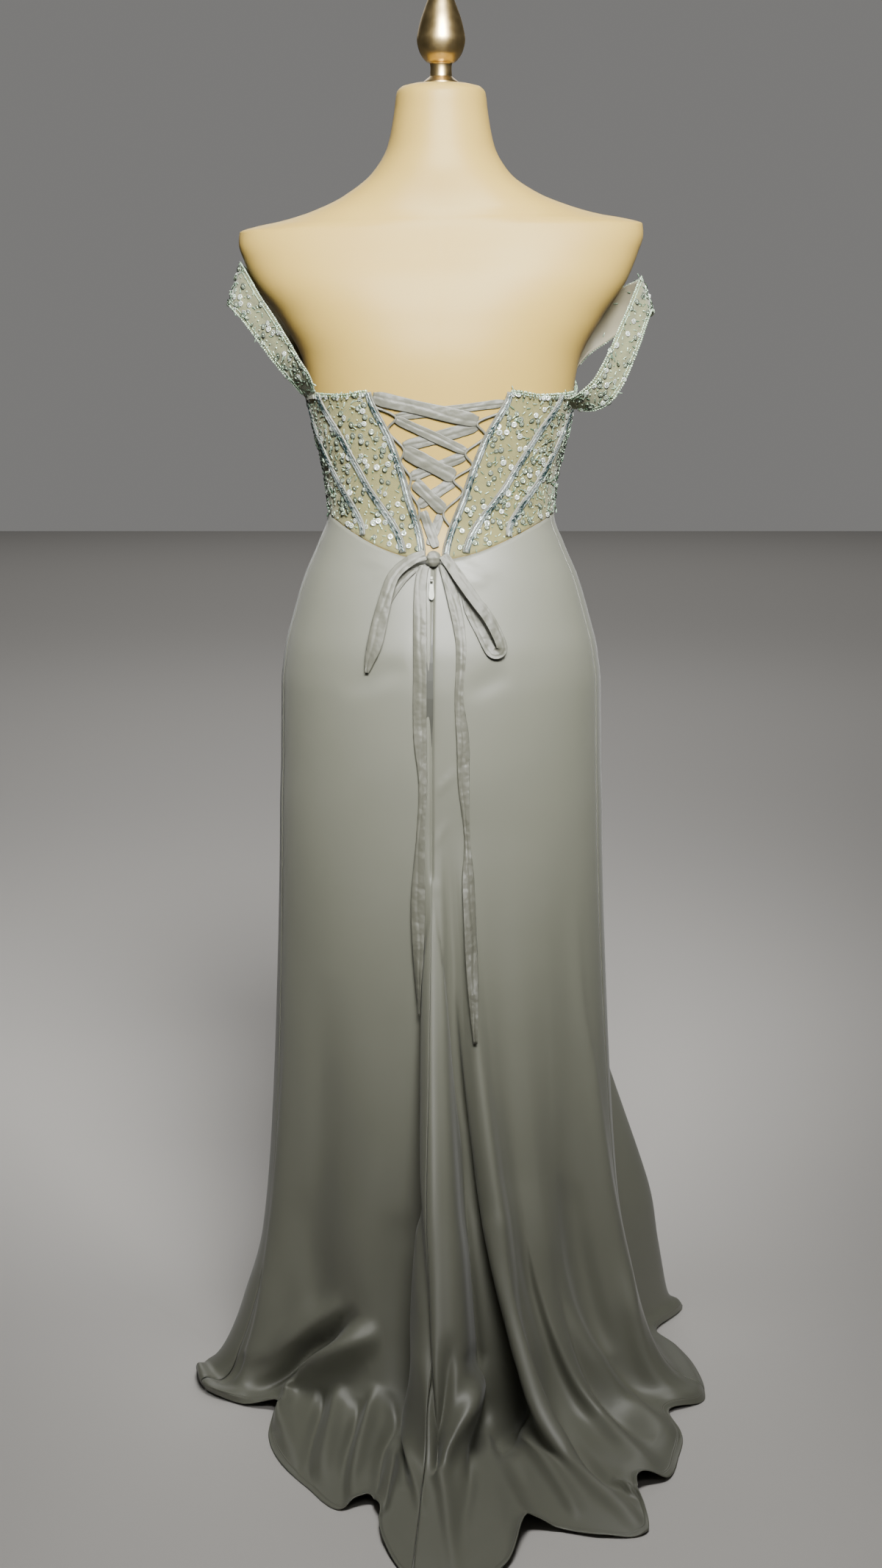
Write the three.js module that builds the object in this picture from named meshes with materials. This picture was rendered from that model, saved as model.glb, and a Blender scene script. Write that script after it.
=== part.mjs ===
// An off-shoulder evening gown with a laced back and a short train, on a limbless dress form.
// Millimetres, +Z up. +Y is the gown's front, +X its wearer's right, and the form's pole stands on Z.
// An azimuth is in degrees round Z: 0 is the centre back, 90 the wearer's right, 180 the centre front.
import * as THREE from "three";

const degree = Math.PI / 180;

// Driving sizes
const neckTopZ = 1431;
const formFootZ = 690;
const waistSideZ = 980; // the waist seam at the sides
const waistDropBack = 46; // how far the seam dips at the centre back
const waistDropFront = 30;
const bodiceWall = 1.2;
const bodiceRows = 12;
const bodiceEase = 2.1; // middle of the bodice cloth, out from the form
const skirtWall = 1.5;
const skirtEase = 3.2;
const easeRun = 22; // the skirt leaves the bodice's ease over this drop
const seamGap = 0.3;
const flareZ = 650; // the skirt hangs straight above this, and flares below
const fanZ = 620; // below this its folds fan out round the hem
const bendZ = 34; // height at which the cloth starts to turn onto the floor
const bendReach = 30;
const backTilt = -4.5; // azimuth of the centre back seam
const boneWidth = 5;
const boneRise = 2.4;
const boneLift = 1.2;
const cordRadius = 1;
const ribbonThick = 1;
const lowerLace = 1.3; // lacing strands over the form, to the middle of the ribbon
const upperLace = 2.75;
const loopLift = 3.2;

// Sections of the figure: half width, depth behind and before the pole, and how square the section is
const figureSections = [
  { z: 690, half: 150, back: 98, front: 88, square: 2 },
  { z: 704, half: 166, back: 112, front: 98, square: 2 },
  { z: 740, half: 171, back: 119, front: 103, square: 2 },
  { z: 790, half: 171, back: 122, front: 104, square: 2 },
  { z: 830, half: 167, back: 120, front: 103, square: 2 },
  { z: 870, half: 157, back: 113, front: 101, square: 2 },
  { z: 910, half: 145, back: 104, front: 98, square: 2 },
  { z: 945, half: 130, back: 93, front: 94, square: 2 },
  { z: 975, half: 120, back: 86, front: 91, square: 2.05 },
  { z: 1010, half: 122, back: 86, front: 94, square: 2.1 },
  { z: 1055, half: 132, back: 90, front: 102, square: 2.15 },
  { z: 1100, half: 141, back: 95, front: 108, square: 2.2 },
  { z: 1140, half: 148, back: 97, front: 106, square: 2.3 },
  { z: 1186, half: 172, back: 93, front: 94, square: 2.4 },
  { z: 1223, half: 198, back: 86, front: 76, square: 2.45 },
  { z: 1250, half: 210, back: 77, front: 60, square: 2.45 },
  { z: 1270, half: 216, back: 70, front: 47, square: 2.4 },
  { z: 1281, half: 215, back: 66.5, front: 42, square: 2.3 },
  { z: 1287, half: 196, back: 65, front: 42, square: 2.15 },
  { z: 1292, half: 170, back: 63.5, front: 43, square: 2.05 },
  { z: 1301, half: 139, back: 61.5, front: 45, square: 2 },
  { z: 1316, half: 104, back: 60, front: 47, square: 2 },
  { z: 1339, half: 73, back: 59, front: 48, square: 2 },
  { z: 1366, half: 57, back: 55, front: 48, square: 2 },
  { z: 1400, half: 50, back: 50, front: 48, square: 2 },
  { z: 1422, half: 47, back: 47, front: 46, square: 2 },
  { z: 1429, half: 40, back: 40, front: 40, square: 2 },
  { z: 1431, half: 30, back: 30, front: 30, square: 2 },
];
const bust = { azimuth: 150, z: 1128, rise: 24, wide: 19, tall: 40, ease: 1.6 };

// Where the skirt hangs free of the figure
const hangSections = [
  { z: 650, half: 174, back: 120, front: 106, square: 2 },
  { z: 720, half: 172, back: 121, front: 105, square: 2 },
];

// Top edge of the bodice round one side
const topEdge = [
  { azimuth: 0, z: 1110 },
  { azimuth: 42, z: 1111 },
  { azimuth: 56, z: 1107 },
  { azimuth: 70, z: 1108 },
  { azimuth: 90, z: 1113 },
  { azimuth: 110, z: 1134 },
  { azimuth: 128, z: 1166 },
  { azimuth: 145, z: 1178 },
  { azimuth: 162, z: 1164 },
  { azimuth: 180, z: 1136 },
];

// Seams and bones of the bodice: half angles from the centre back, from the top edge to the waist seam
const boneLines = [
  { share: 0, lace: 40.8, middle: 69.3, outer: 85, side: 112, princess: 149, tilt: -1.2 },
  { share: 0.33, lace: 29.6, middle: 58, outer: 77.5, side: 110, princess: 149, tilt: -2.3 },
  { share: 0.63, lace: 20.2, middle: 46, outer: 68, side: 108, princess: 152, tilt: -3.4 },
  { share: 1, lace: 7.8, middle: 20, outer: 47, side: 106, princess: 160, tilt: -4.6 },
];

// Columns of the skirt round from the centre back seam: azimuth at the hip and at the hem, radius where
// the cloth meets the floor and at the hem, how late it kicks out, and how high the hem's edge arches
const skirtColumns = [
  { hip: -4.5, end: -3, touch: 300, hem: 535, kick: 0.1, lift: 0 },
  { hip: -2, end: 2, touch: 304, hem: 548, kick: 0.1, lift: 0 },
  { hip: 0, end: 7, touch: 286, hem: 515, kick: 0.15, lift: 6 },
  { hip: 2, end: 11, touch: 214, hem: 440, kick: 0.3, lift: 24 },
  { hip: 4, end: 15, touch: 180, hem: 442, kick: 0.4, lift: 4 },
  { hip: 6.5, end: 20, touch: 222, hem: 470, kick: 0.35, lift: 3 },
  { hip: 10, end: 25.5, touch: 304, hem: 474, kick: 0.35, lift: 0 },
  { hip: 17, end: 31, touch: 256, hem: 388, kick: 0.45, lift: 17 },
  { hip: 26, end: 38, touch: 222, hem: 381, kick: 0.6, lift: 0 },
  { hip: 36, end: 46, touch: 240, hem: 348, kick: 0.55, lift: 0 },
  { hip: 47, end: 54, touch: 235, hem: 320, kick: 0.6, lift: 0 },
  { hip: 57, end: 64, touch: 212, hem: 278, kick: 0.65, lift: 4 },
  { hip: 68, end: 73, touch: 266, hem: 302, kick: 0.6, lift: 0 },
  { hip: 78, end: 80, touch: 260, hem: 300, kick: 0.55, lift: 0 },
  { hip: 90, end: 91, touch: 244, hem: 293, kick: 0.5, lift: 0 },
  { hip: 103, end: 105, touch: 240, hem: 289, kick: 0.4, lift: 0 },
  { hip: 115, end: 118, touch: 256, hem: 290, kick: 0.05, lift: 3 },
  { hip: 127, end: 129, touch: 340, hem: 374, kick: -0.4, lift: 0 },
  { hip: 142, end: 141, touch: 256, hem: 276, kick: 0.1, lift: 3 },
  { hip: 160, end: 159, touch: 274, hem: 292, kick: 0.5, lift: 0 },
  { hip: 178, end: 178, touch: 236, hem: 252, kick: 0.5, lift: 2 },
  { hip: 198, end: 198, touch: 268, hem: 286, kick: 0.5, lift: 0 },
  { hip: 216, end: 216, touch: 228, hem: 248, kick: 0.5, lift: 3 },
  { hip: 235, end: 236, touch: 250, hem: 270, kick: 0.5, lift: 0 },
  { hip: 252, end: 253, touch: 226, hem: 248, kick: 0.6, lift: 0 },
  { hip: 267, end: 268, touch: 256, hem: 274, kick: 0.65, lift: 0 },
  { hip: 279, end: 281, touch: 244, hem: 268, kick: 0.7, lift: 0 },
  { hip: 290, end: 294, touch: 198, hem: 240, kick: 0.7, lift: 2 },
  { hip: 300, end: 303, touch: 172, hem: 216, kick: 0.6, lift: 14 },
  { hip: 310, end: 314, touch: 168, hem: 258, kick: 0.6, lift: 0 },
  { hip: 322, end: 328, touch: 162, hem: 312, kick: 0.6, lift: 0 },
  { hip: 333, end: 337, touch: 160, hem: 350, kick: 0.6, lift: 0 },
  { hip: 342.5, end: 344.5, touch: 166, hem: 390, kick: 0.5, lift: 0 },
  { hip: 349, end: 349.5, touch: 182, hem: 372, kick: 0.35, lift: 15 },
  { hip: 352.5, end: 353, touch: 250, hem: 462, kick: 0.15, lift: 6 },
  { hip: 355.5, end: 357, touch: 300, hem: 535, kick: 0.1, lift: 0 },
];
const rightSideColumn = 13;
const leftSideColumn = 26;

// Edges of each shoulder strap from the back of the bodice, round the shoulder's end, to the cup
const leftStrap = [
  { lower: [-142, -18, 1099], upper: [-131.5, -40.5, 1101] },
  { lower: [-159, -33, 1119], upper: [-138, -61, 1125] },
  { lower: [-172, -37, 1134], upper: [-150, -62, 1145] },
  { lower: [-190, -32, 1157], upper: [-168, -53, 1175] },
  { lower: [-208, -20, 1180], upper: [-190, -34, 1207] },
  { lower: [-226, -2, 1199], upper: [-212, -8, 1242] },
  { lower: [-228, 26, 1199], upper: [-211, 24, 1240] },
  { lower: [-208, 50, 1190], upper: [-192, 54, 1228] },
  { lower: [-182, 62, 1170], upper: [-161, 74, 1208] },
  { lower: [-160, 61, 1150], upper: [-131, 86, 1187] },
  { lower: [-143, 47, 1126], upper: [-111, 86, 1161] },
];
const rightStrap = [
  { lower: [139.5, -26, 1091], upper: [132, -41, 1100] },
  { lower: [165, -35, 1090], upper: [146, -60, 1108] },
  { lower: [185, -38, 1104], upper: [162, -61, 1124] },
  { lower: [203, -31, 1138], upper: [177, -52, 1151] },
  { lower: [216, -18, 1171], upper: [195, -35, 1190] },
  { lower: [225, -2, 1194], upper: [212, -8, 1227] },
  { lower: [228, 26, 1190], upper: [213, 24, 1227] },
  { lower: [210, 50, 1180], upper: [194, 54, 1218] },
  { lower: [184, 62, 1163], upper: [163, 74, 1201] },
  { lower: [160, 61, 1146], upper: [132, 86, 1183] },
  { lower: [143, 47, 1124], upper: [111, 86, 1159] },
];
const strapWall = 1.5;

// Lacing: each strand from one point to another across the open back, as x and z
const laceStrands = [
  { from: [-61, 1102], to: [35, 1079.5], width: 13, upper: true },
  { from: [55, 1095.5], to: [-44, 1084], width: 8, upper: false },
  { from: [-44, 1080], to: [23, 1048.5], width: 9, upper: true },
  { from: [35, 1073], to: [-36, 1053], width: 11, upper: false },
  { from: [-35, 1046.5], to: [11, 1022], width: 14, upper: true },
  { from: [23, 1042], to: [-29, 1021.5], width: 9, upper: false },
  { from: [-25, 1013], to: [1, 987.5], width: 11, upper: true },
  { from: [11, 1015], to: [-21, 992.5], width: 10, upper: false },
  { from: [-17.5, 982], to: [-6, 952], width: 8, upper: true },
  { from: [-1.5, 978], to: [-10, 954], width: 8, upper: false },
];
const leftLoopTips = [
  { x: -46, z: 1083 },
  { x: -38, z: 1050 },
  { x: -31, z: 1020 },
  { x: -23, z: 990 },
];
const rightLoopTips = [
  { x: 37, z: 1077 },
  { x: 25, z: 1046 },
  { x: 13, z: 1018 },
  { x: 2.8, z: 984 },
];
const loopReach = 14; // half the height of a lacing loop where it is sewn to the bone

// Bow: a knot, two loops and two long tails, routed over the skirt as x, z, width and lift
const knot = { x: -8, z: 936, lift: 5.3, wide: 7.5, deep: 4.5, tall: 8 };
const leftTail = [
  { x: -17, z: 928.5, width: 10, lift: 3.6 },
  { x: -21.5, z: 906, width: 13, lift: 1.9 },
  { x: -22, z: 831, width: 15, lift: 1.4 },
  { x: -22, z: 754, width: 14, lift: 1.4 },
  { x: -19, z: 700, width: 9, lift: 1.5 },
  { x: -21, z: 650, width: 9, lift: 2 },
  { x: -24, z: 581, width: 15, lift: 4.2 },
  { x: -24, z: 517, width: 12, lift: 6 },
  { x: -23, z: 453, width: 5, lift: 6.5 },
];
const rightTail = [
  { x: 2, z: 930, width: 9, lift: 3.6 },
  { x: 13, z: 893, width: 13, lift: 1.9 },
  { x: 21, z: 847, width: 11, lift: 1.5 },
  { x: 19, z: 792, width: 9, lift: 1.4 },
  { x: 23, z: 746, width: 14, lift: 1.4 },
  { x: 24, z: 700, width: 12, lift: 1.5 },
  { x: 28, z: 640, width: 6, lift: 2.4 },
  { x: 29, z: 590, width: 14, lift: 3.6 },
  { x: 32, z: 520, width: 15, lift: 5 },
  { x: 37, z: 425, width: 5, lift: 6 },
];
// A loop goes out along its outer run and comes back along its inner run, nearer the skirt
const leftLoop = [
  { x: -16.2, z: 940, width: 11, lift: 6.5 },
  { x: -31, z: 935, width: 12, lift: 11 },
  { x: -50, z: 918, width: 13, lift: 12 },
  { x: -60, z: 888, width: 15, lift: 11 },
  { x: -70, z: 848, width: 16, lift: 8 },
  { x: -77, z: 822, width: 12, lift: 4.5 },
  { x: -72, z: 846, width: 14, lift: 1.7 },
  { x: -60, z: 888, width: 14, lift: 1.7 },
  { x: -44, z: 912, width: 12, lift: 2.4 },
  { x: -29, z: 926, width: 10, lift: 3 },
];
const rightLoop = [
  { x: 2.2, z: 940, width: 10, lift: 7 },
  { x: 15, z: 923, width: 12, lift: 12 },
  { x: 33, z: 898, width: 12, lift: 14 },
  { x: 52, z: 872, width: 12, lift: 14 },
  { x: 64, z: 844, width: 12, lift: 10 },
  { x: 54, z: 839, width: 12, lift: 4 },
  { x: 42, z: 860, width: 12, lift: 1.8 },
  { x: 31, z: 882, width: 12, lift: 1.8 },
  { x: 27, z: 896, width: 10, lift: 2 },
];

// Zip in the centre back seam
const zip = { x: -10, top: 903, foot: 602, pivot: 913, tapeWidth: 16, tapeThick: 0.8, tapeLift: 1 };
const slider = { wide: 2.2, plateFront: 1.6, plateBack: 3.1, above: 5, below: 6, archRadius: 2.3, hole: 2.6 };
const pull = { long: 20, wide: 5.8, thick: 1.2, bar: 1.1, eyeHalf: 1.7, eyeFoot: 3.4 };

const finialProfile = [
  { r: 19, z: 0 },
  { r: 18.5, z: 2 },
  { r: 13.5, z: 6 },
  { r: 11.6, z: 9 },
  { r: 11.6, z: 20 },
  { r: 16, z: 23 },
  { r: 22, z: 31 },
  { r: 25.3, z: 42 },
  { r: 25, z: 51 },
  { r: 21.5, z: 66 },
  { r: 16.5, z: 80 },
  { r: 12.4, z: 91 },
  { r: 8.6, z: 104 },
  { r: 5.2, z: 116 },
  { r: 2.6, z: 123 },
];
const base = { radius: 140, edge: 12, collar: 26, height: 25 };
const pole = { radius: 16, foot: base.height + seamGap };

const palette = {
  satin: { color: 0x97968a, roughness: 0.42, metalness: 0 },
  tulle: { color: 0xb7ab88, roughness: 0.8, metalness: 0 },
  beads: { color: 0x8fa3a0, roughness: 0.25, metalness: 0.6 },
  strap: { color: 0x9aa287, roughness: 0.5, metalness: 0.1 },
  cover: { color: 0xdccca9, roughness: 0.45, metalness: 0 },
  gold: { color: 0xb08a3c, roughness: 0.3, metalness: 1 },
  steel: { color: 0x8d8f90, roughness: 0.35, metalness: 1 },
};

// A value of a table between its rows, by a cubic that never overshoots
function tableValue(table, key, column, at) {
  const last = table.length - 1;
  const rising = table[last][key] > table[0][key];
  const inside = rising ? Math.max(table[0][key], Math.min(table[last][key], at)) : at;
  let i = 0;
  while (i < last - 1 && inside > table[i + 1][key]) i += 1;
  const slope = (k) => {
    if (k < 0 || k >= last) return 0;
    return (table[k + 1][column] - table[k][column]) / (table[k + 1][key] - table[k][key]);
  };
  const tangent = (k) => {
    const before = slope(k - 1);
    const after = slope(k);
    return before * after <= 0 ? 0 : (2 * before * after) / (before + after);
  };
  const run = table[i + 1][key] - table[i][key];
  const t = (inside - table[i][key]) / run;
  const h = t * t * (3 - 2 * t);
  const entering = t * (1 - t) * (1 - t) * run * tangent(i);
  const leaving = t * t * (1 - t) * run * tangent(i + 1);
  return table[i][column] * (1 - h) + table[i + 1][column] * h + entering - leaving;
}

// The skirt's columns with the neighbour of each end added, so that the cloth runs on across the seam
const roundColumns = [
  { ...skirtColumns[skirtColumns.length - 2], hip: -7.5, end: -7 },
  ...skirtColumns,
  { ...skirtColumns[1], hip: 358, end: 362 },
];

// Every column of a table at a place between its rows, on a Catmull-Rom spline
function rowAt(rows, place) {
  const last = rows.length - 1;
  const i = Math.max(0, Math.min(last - 1, Math.floor(place)));
  const t = place - i;
  const row = {};
  for (const name of Object.keys(rows[0])) {
    const [a, b, c, d] = [i - 1, i, i + 1, i + 2].map((k) => rows[Math.max(0, Math.min(last, k))][name]);
    const steep = (c - a) / 2;
    const after = (d - b) / 2;
    row[name] = b + steep * t + (3 * (c - b) - 2 * steep - after) * t * t + (2 * (b - c) + steep + after) * t ** 3;
  }
  return row;
}

const polar = (azimuth, z, radius) =>
  new THREE.Vector3(Math.sin(azimuth * degree) * radius, -Math.cos(azimuth * degree) * radius, z);

// Radius of a section table, a squared ellipse with its own depths behind and before the pole
function sectionRadius(table, azimuth, z) {
  const cosine = Math.cos(azimuth * degree);
  const half = tableValue(table, "z", "half", z);
  const depth = tableValue(table, "z", cosine > 0 ? "back" : "front", z);
  const power = tableValue(table, "z", "square", z);
  const across = Math.abs(Math.sin(azimuth * degree) / half) ** power;
  return (across + Math.abs(cosine / depth) ** power) ** (-1 / power);
}

const signedAzimuth = (azimuth) => ((((azimuth + 180) % 360) + 360) % 360) - 180;

function bustShare(azimuth, z) {
  const beside = ((Math.abs(signedAzimuth(azimuth)) - bust.azimuth) / bust.wide) ** 2;
  return Math.exp(-beside - ((z - bust.z) / bust.tall) ** 2);
}

const figureRadius = (azimuth, z) =>
  sectionRadius(figureSections, azimuth, z) + bust.rise * bustShare(azimuth, z);

const topZ = (azimuth) => tableValue(topEdge, "azimuth", "z", Math.abs(signedAzimuth(azimuth)));

function waistZ(azimuth) {
  const cosine = Math.cos((azimuth - backTilt * Math.max(0, Math.cos(azimuth * degree))) * degree);
  return waistSideZ - (cosine > 0 ? waistDropBack : waistDropFront) * Math.abs(cosine) ** 1.6;
}

// A point of the bodice cloth's middle, lifted off it
const bodicePoint = (azimuth, z, lift) =>
  polar(azimuth, z, figureRadius(azimuth, z) + bodiceEase + bust.ease * bustShare(azimuth, z) + lift);

// The skirt's cloth: down from the waist (0 to 1), round the bend (1 to 2) and out over the floor (2 to 3)
function hangRadius(azimuth, z) {
  const below = Math.max(0, Math.min(1, (waistZ(azimuth) - z) / easeRun));
  const worn = figureRadius(azimuth, Math.max(z, 790)) + bodiceEase + (skirtEase - bodiceEase) * below;
  const free = sectionRadius(hangSections, azimuth, z) + skirtEase;
  const share = Math.max(0, Math.min(1, (800 - z) / 90));
  return worn + (free - worn) * share * share * (3 - 2 * share);
}

function fallPoint(column, z) {
  const fan = Math.max(0, Math.min(1, (fanZ - z) / fanZ));
  const azimuth = column.hip + (column.end - column.hip) * fan;
  const radius = hangRadius(azimuth, Math.max(z, flareZ));
  const drop = Math.max(0, 1 - z / flareZ);
  const flare = (1 - column.kick) * drop ** 1.4 + column.kick * drop ** 7;
  return { azimuth, radius: radius + (column.touch - radius) * flare };
}

function skirtPoint(place, down) {
  const column = rowAt(roundColumns, place + 1);
  const floorZ = skirtWall / 2;
  if (down <= 1) {
    const top = waistZ(column.hip) - seamGap / 2;
    const z = top + (bendZ - top) * down;
    const fall = fallPoint(column, z);
    return polar(fall.azimuth, z, fall.radius);
  }
  const start = fallPoint(column, bendZ).radius;
  const landed = column.touch + Math.min(bendReach, 0.6 * (column.hem - column.touch));
  if (down <= 2) {
    const t = down - 1;
    const radius = start * (1 - t) ** 2 + 2 * column.touch * t * (1 - t) + landed * t * t;
    return polar(column.end, floorZ + (bendZ - floorZ) * (1 - t) ** 2, radius);
  }
  const t = down - 2;
  const arch = Math.max(0, column.lift) * t * t;
  return polar(column.end, floorZ + arch, landed + (column.hem - landed) * t);
}

// Point of the skirt's back at a given x and z, lifted outwards
function skirtBack(x, z, lift) {
  const fallenX = (place) => {
    const { azimuth, radius } = fallPoint(rowAt(roundColumns, place + 1), z);
    return Math.sin(azimuth * degree) * radius;
  };
  const last = skirtColumns.length - 1;
  let [low, high] = x > fallenX(0) ? [0, 9] : [last - 9, last];
  for (let turn = 0; turn < 30; turn += 1) {
    const middle = (low + high) / 2;
    if (fallenX(middle) < x) low = middle;
    else high = middle;
  }
  const { azimuth, radius } = fallPoint(rowAt(roundColumns, low + 1), z);
  return polar(azimuth, z, radius).add(new THREE.Vector3(0, -lift, 0));
}

// Which way the skirt's back faces at x and z
function skirtFacing(x, z) {
  const sideways = skirtBack(x + 2, z, 0).y - skirtBack(x - 2, z, 0).y;
  const upwards = skirtBack(x, z + 2, 0).y - skirtBack(x, z - 2, 0).y;
  return new THREE.Vector3(sideways / 4, -1, upwards / 4).normalize();
}

// Point on the back of the form at x and z, lifted off it
function backPoint(x, z, lift) {
  let azimuth = 0;
  for (let turn = 0; turn < 12; turn += 1) {
    azimuth = Math.asin(Math.max(-0.95, Math.min(0.95, x / figureRadius(azimuth, z)))) / degree;
  }
  return polar(azimuth, z, figureRadius(azimuth, z) + lift);
}

// Which way the form's back faces at x and z
function backFacing(x, z) {
  const sideways = backPoint(x + 1, z, 0).y - backPoint(x - 1, z, 0).y;
  const upwards = backPoint(x, z + 1, 0).y - backPoint(x, z - 1, 0).y;
  return new THREE.Vector3(sideways / 2, -1, upwards / 2).normalize();
}

// A closed geometry from points and triangles, turned so that its faces point out
function closedGeometry(points, triangles) {
  let volume = 0;
  for (const [a, b, c] of triangles) {
    volume += points[a].dot(new THREE.Vector3().crossVectors(points[b], points[c]));
  }
  const geometry = new THREE.BufferGeometry().setFromPoints(points);
  geometry.setIndex(triangles.flatMap(([a, b, c]) => (volume > 0 ? [a, b, c] : [a, c, b])));
  geometry.computeVertexNormals();
  return geometry;
}

// A solid through rings of points, closed by a fan at each end
function loftGeometry(rings) {
  const around = rings[0].length;
  const points = rings.flat();
  const triangles = [];
  for (let k = 0; k + 1 < rings.length; k += 1) {
    for (let i = 0; i < around; i += 1) {
      const next = (i + 1) % around;
      const [a, b, c, d] = [k * around + i, k * around + next, (k + 1) * around + next, (k + 1) * around + i];
      triangles.push([a, b, c], [a, c, d]);
    }
  }
  for (const [ring, flip] of [[0, true], [rings.length - 1, false]]) {
    const centre = rings[ring].reduce((sum, p) => sum.add(p), new THREE.Vector3()).divideScalar(around);
    points.push(centre);
    for (let i = 0; i < around; i += 1) {
      const pair = [ring * around + i, ring * around + ((i + 1) % around)];
      triangles.push(flip ? [points.length - 1, pair[1], pair[0]] : [points.length - 1, ...pair]);
    }
  }
  return closedGeometry(points, triangles);
}

// A wall of cloth on both sides of a surface point(u, v), its first and last columns drawn in by a gap
function wallGeometry(point, us, vs, thick, gap) {
  const nudge = 0.02;
  const grid = us.map((u, i) => vs.map((v) => {
    const along = point(u + nudge, v).sub(point(u - nudge, v)).normalize();
    const down = point(u, v + nudge).sub(point(u, v - nudge));
    const out = down.cross(along).normalize().multiplyScalar(thick / 2);
    const inset = i === 0 ? gap : i === us.length - 1 ? -gap : 0;
    const middle = point(u, v).addScaledVector(along, inset);
    const outer = middle.clone().add(out);
    const inner = middle.sub(out);
    inner.z = Math.max(0, inner.z);
    return [outer, inner];
  }));
  const rows = vs.length;
  const points = grid.flat(2);
  const index = (i, j, side) => (i * rows + j) * 2 + side;
  const triangles = [];
  for (let i = 0; i + 1 < us.length; i += 1) {
    for (let j = 0; j + 1 < rows; j += 1) {
      for (const side of [0, 1]) {
        const [a, b, c, d] = [index(i, j, side), index(i + 1, j, side), index(i + 1, j + 1, side), index(i, j + 1, side)];
        triangles.push(...(side ? [[a, b, d], [b, c, d]] : [[a, d, b], [b, d, c]]));
      }
    }
  }
  const rim = [];
  for (let i = 0; i < us.length; i += 1) rim.push([i, 0]);
  for (let j = 1; j < rows; j += 1) rim.push([us.length - 1, j]);
  for (let i = us.length - 2; i >= 0; i -= 1) rim.push([i, rows - 1]);
  for (let j = rows - 2; j > 0; j -= 1) rim.push([0, j]);
  rim.forEach(([i, j], k) => {
    const [ni, nj] = rim[(k + 1) % rim.length];
    const [a, b, c, d] = [index(i, j, 0), index(ni, nj, 0), index(ni, nj, 1), index(i, j, 1)];
    triangles.push([a, b, c], [a, c, d]);
  });
  return closedGeometry(points, triangles);
}

const steps = (from, to, count) => Array.from({ length: count + 1 }, (_, k) => from + ((to - from) * k) / count);

// A flat ribbon along a path of points, each with its width and the direction it faces or lies across
function ribbonGeometry(path, thick) {
  const rings = path.map((stop, k) => {
    const before = path[Math.max(0, k - 1)].at;
    const after = path[Math.min(path.length - 1, k + 1)].at;
    const along = after.clone().sub(before).normalize();
    const across = stop.across ? stop.across.clone() : new THREE.Vector3().crossVectors(along, stop.out).normalize();
    const out = new THREE.Vector3().crossVectors(across, along).normalize().multiplyScalar(thick / 2);
    across.multiplyScalar(stop.width / 2);
    return [[1, 1], [-1, 1], [-1, -1], [1, -1]].map(([side, face]) =>
      stop.at.clone().addScaledVector(across, side).addScaledVector(out, face));
  });
  return loftGeometry(rings);
}

const group = new THREE.Group();

function addPiece(name, geometry, look, parent = group) {
  const mesh = new THREE.Mesh(geometry, new THREE.MeshStandardMaterial(palette[look]));
  mesh.name = name;
  parent.add(mesh);
  return mesh;
}

// The dress form: torso, turned finial, pole and round base
function addForm() {
  const around = 28;
  const levels = [];
  const stretches = [
    [formFootZ, 704, 2], [704, 910, 9], [910, 1020, 9], [1020, 1270, 13],
    [1270, 1292, 4], [1292, 1316, 3], [1316, neckTopZ - 9, 4], [neckTopZ - 9, neckTopZ, 2],
  ];
  for (const [from, to, count] of stretches) {
    for (const z of steps(from, to, count)) if (!levels.includes(z)) levels.push(z);
  }
  const rings = levels.map((z) =>
    steps(0, 360, around).slice(0, around).map((azimuth) => polar(azimuth, z, figureRadius(azimuth, z))));
  addPiece("form_torso", loftGeometry(rings), "cover");
  const turned = (profile, segments) => {
    const outline = profile.map(({ r, z }) => new THREE.Vector2(r, z));
    const [foot, head] = [outline[0].y, outline[outline.length - 1].y];
    const lathe = new THREE.LatheGeometry([new THREE.Vector2(0, foot), ...outline, new THREE.Vector2(0, head)], segments);
    return lathe.rotateX(Math.PI / 2);
  };
  const finial = addPiece("form_finial", turned(finialProfile, 16), "gold");
  finial.position.z = neckTopZ + seamGap;
  addPiece("form_pole", turned([{ r: pole.radius, z: pole.foot }, { r: pole.radius, z: formFootZ - seamGap }], 20), "steel");
  const edge = base.edge;
  const disc = [
    { r: base.radius - 3, z: 0 },
    { r: base.radius, z: 3 },
    { r: base.radius, z: edge - 3 },
    { r: base.radius - 3, z: edge },
    { r: base.collar + 6, z: edge + 5 },
    { r: base.collar, z: base.height },
  ];
  addPiece("form_base", turned(disc, 28), "steel");
}

// Azimuth of a named bodice seam on one side, at a share of the way from the top edge to the waist
function seamAzimuth(name, side, share) {
  const half = tableValue(boneLines, "share", name, share);
  const tilt = tableValue(boneLines, "share", "tilt", share);
  return side * half + tilt * (1 - half / 180);
}

function seamPoint(name, side, share, lift) {
  const azimuth = seamAzimuth(name, side, share);
  const z = topZ(azimuth) + (waistZ(azimuth) - topZ(azimuth)) * share;
  return bodicePoint(azimuth, z, lift);
}

// One bodice panel between two seams
function bodicePanel(from, to, columns) {
  const point = (u, v) => {
    const azimuth = from(v) + (to(v) - from(v)) * u;
    const foot = waistZ(azimuth) + 2.2 * seamGap;
    return bodicePoint(azimuth, topZ(azimuth) + (foot - topZ(azimuth)) * v, 0);
  };
  return wallGeometry(point, steps(0, 1, columns), steps(0, 1, bodiceRows), bodiceWall, 0.8 * seamGap);
}

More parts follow.
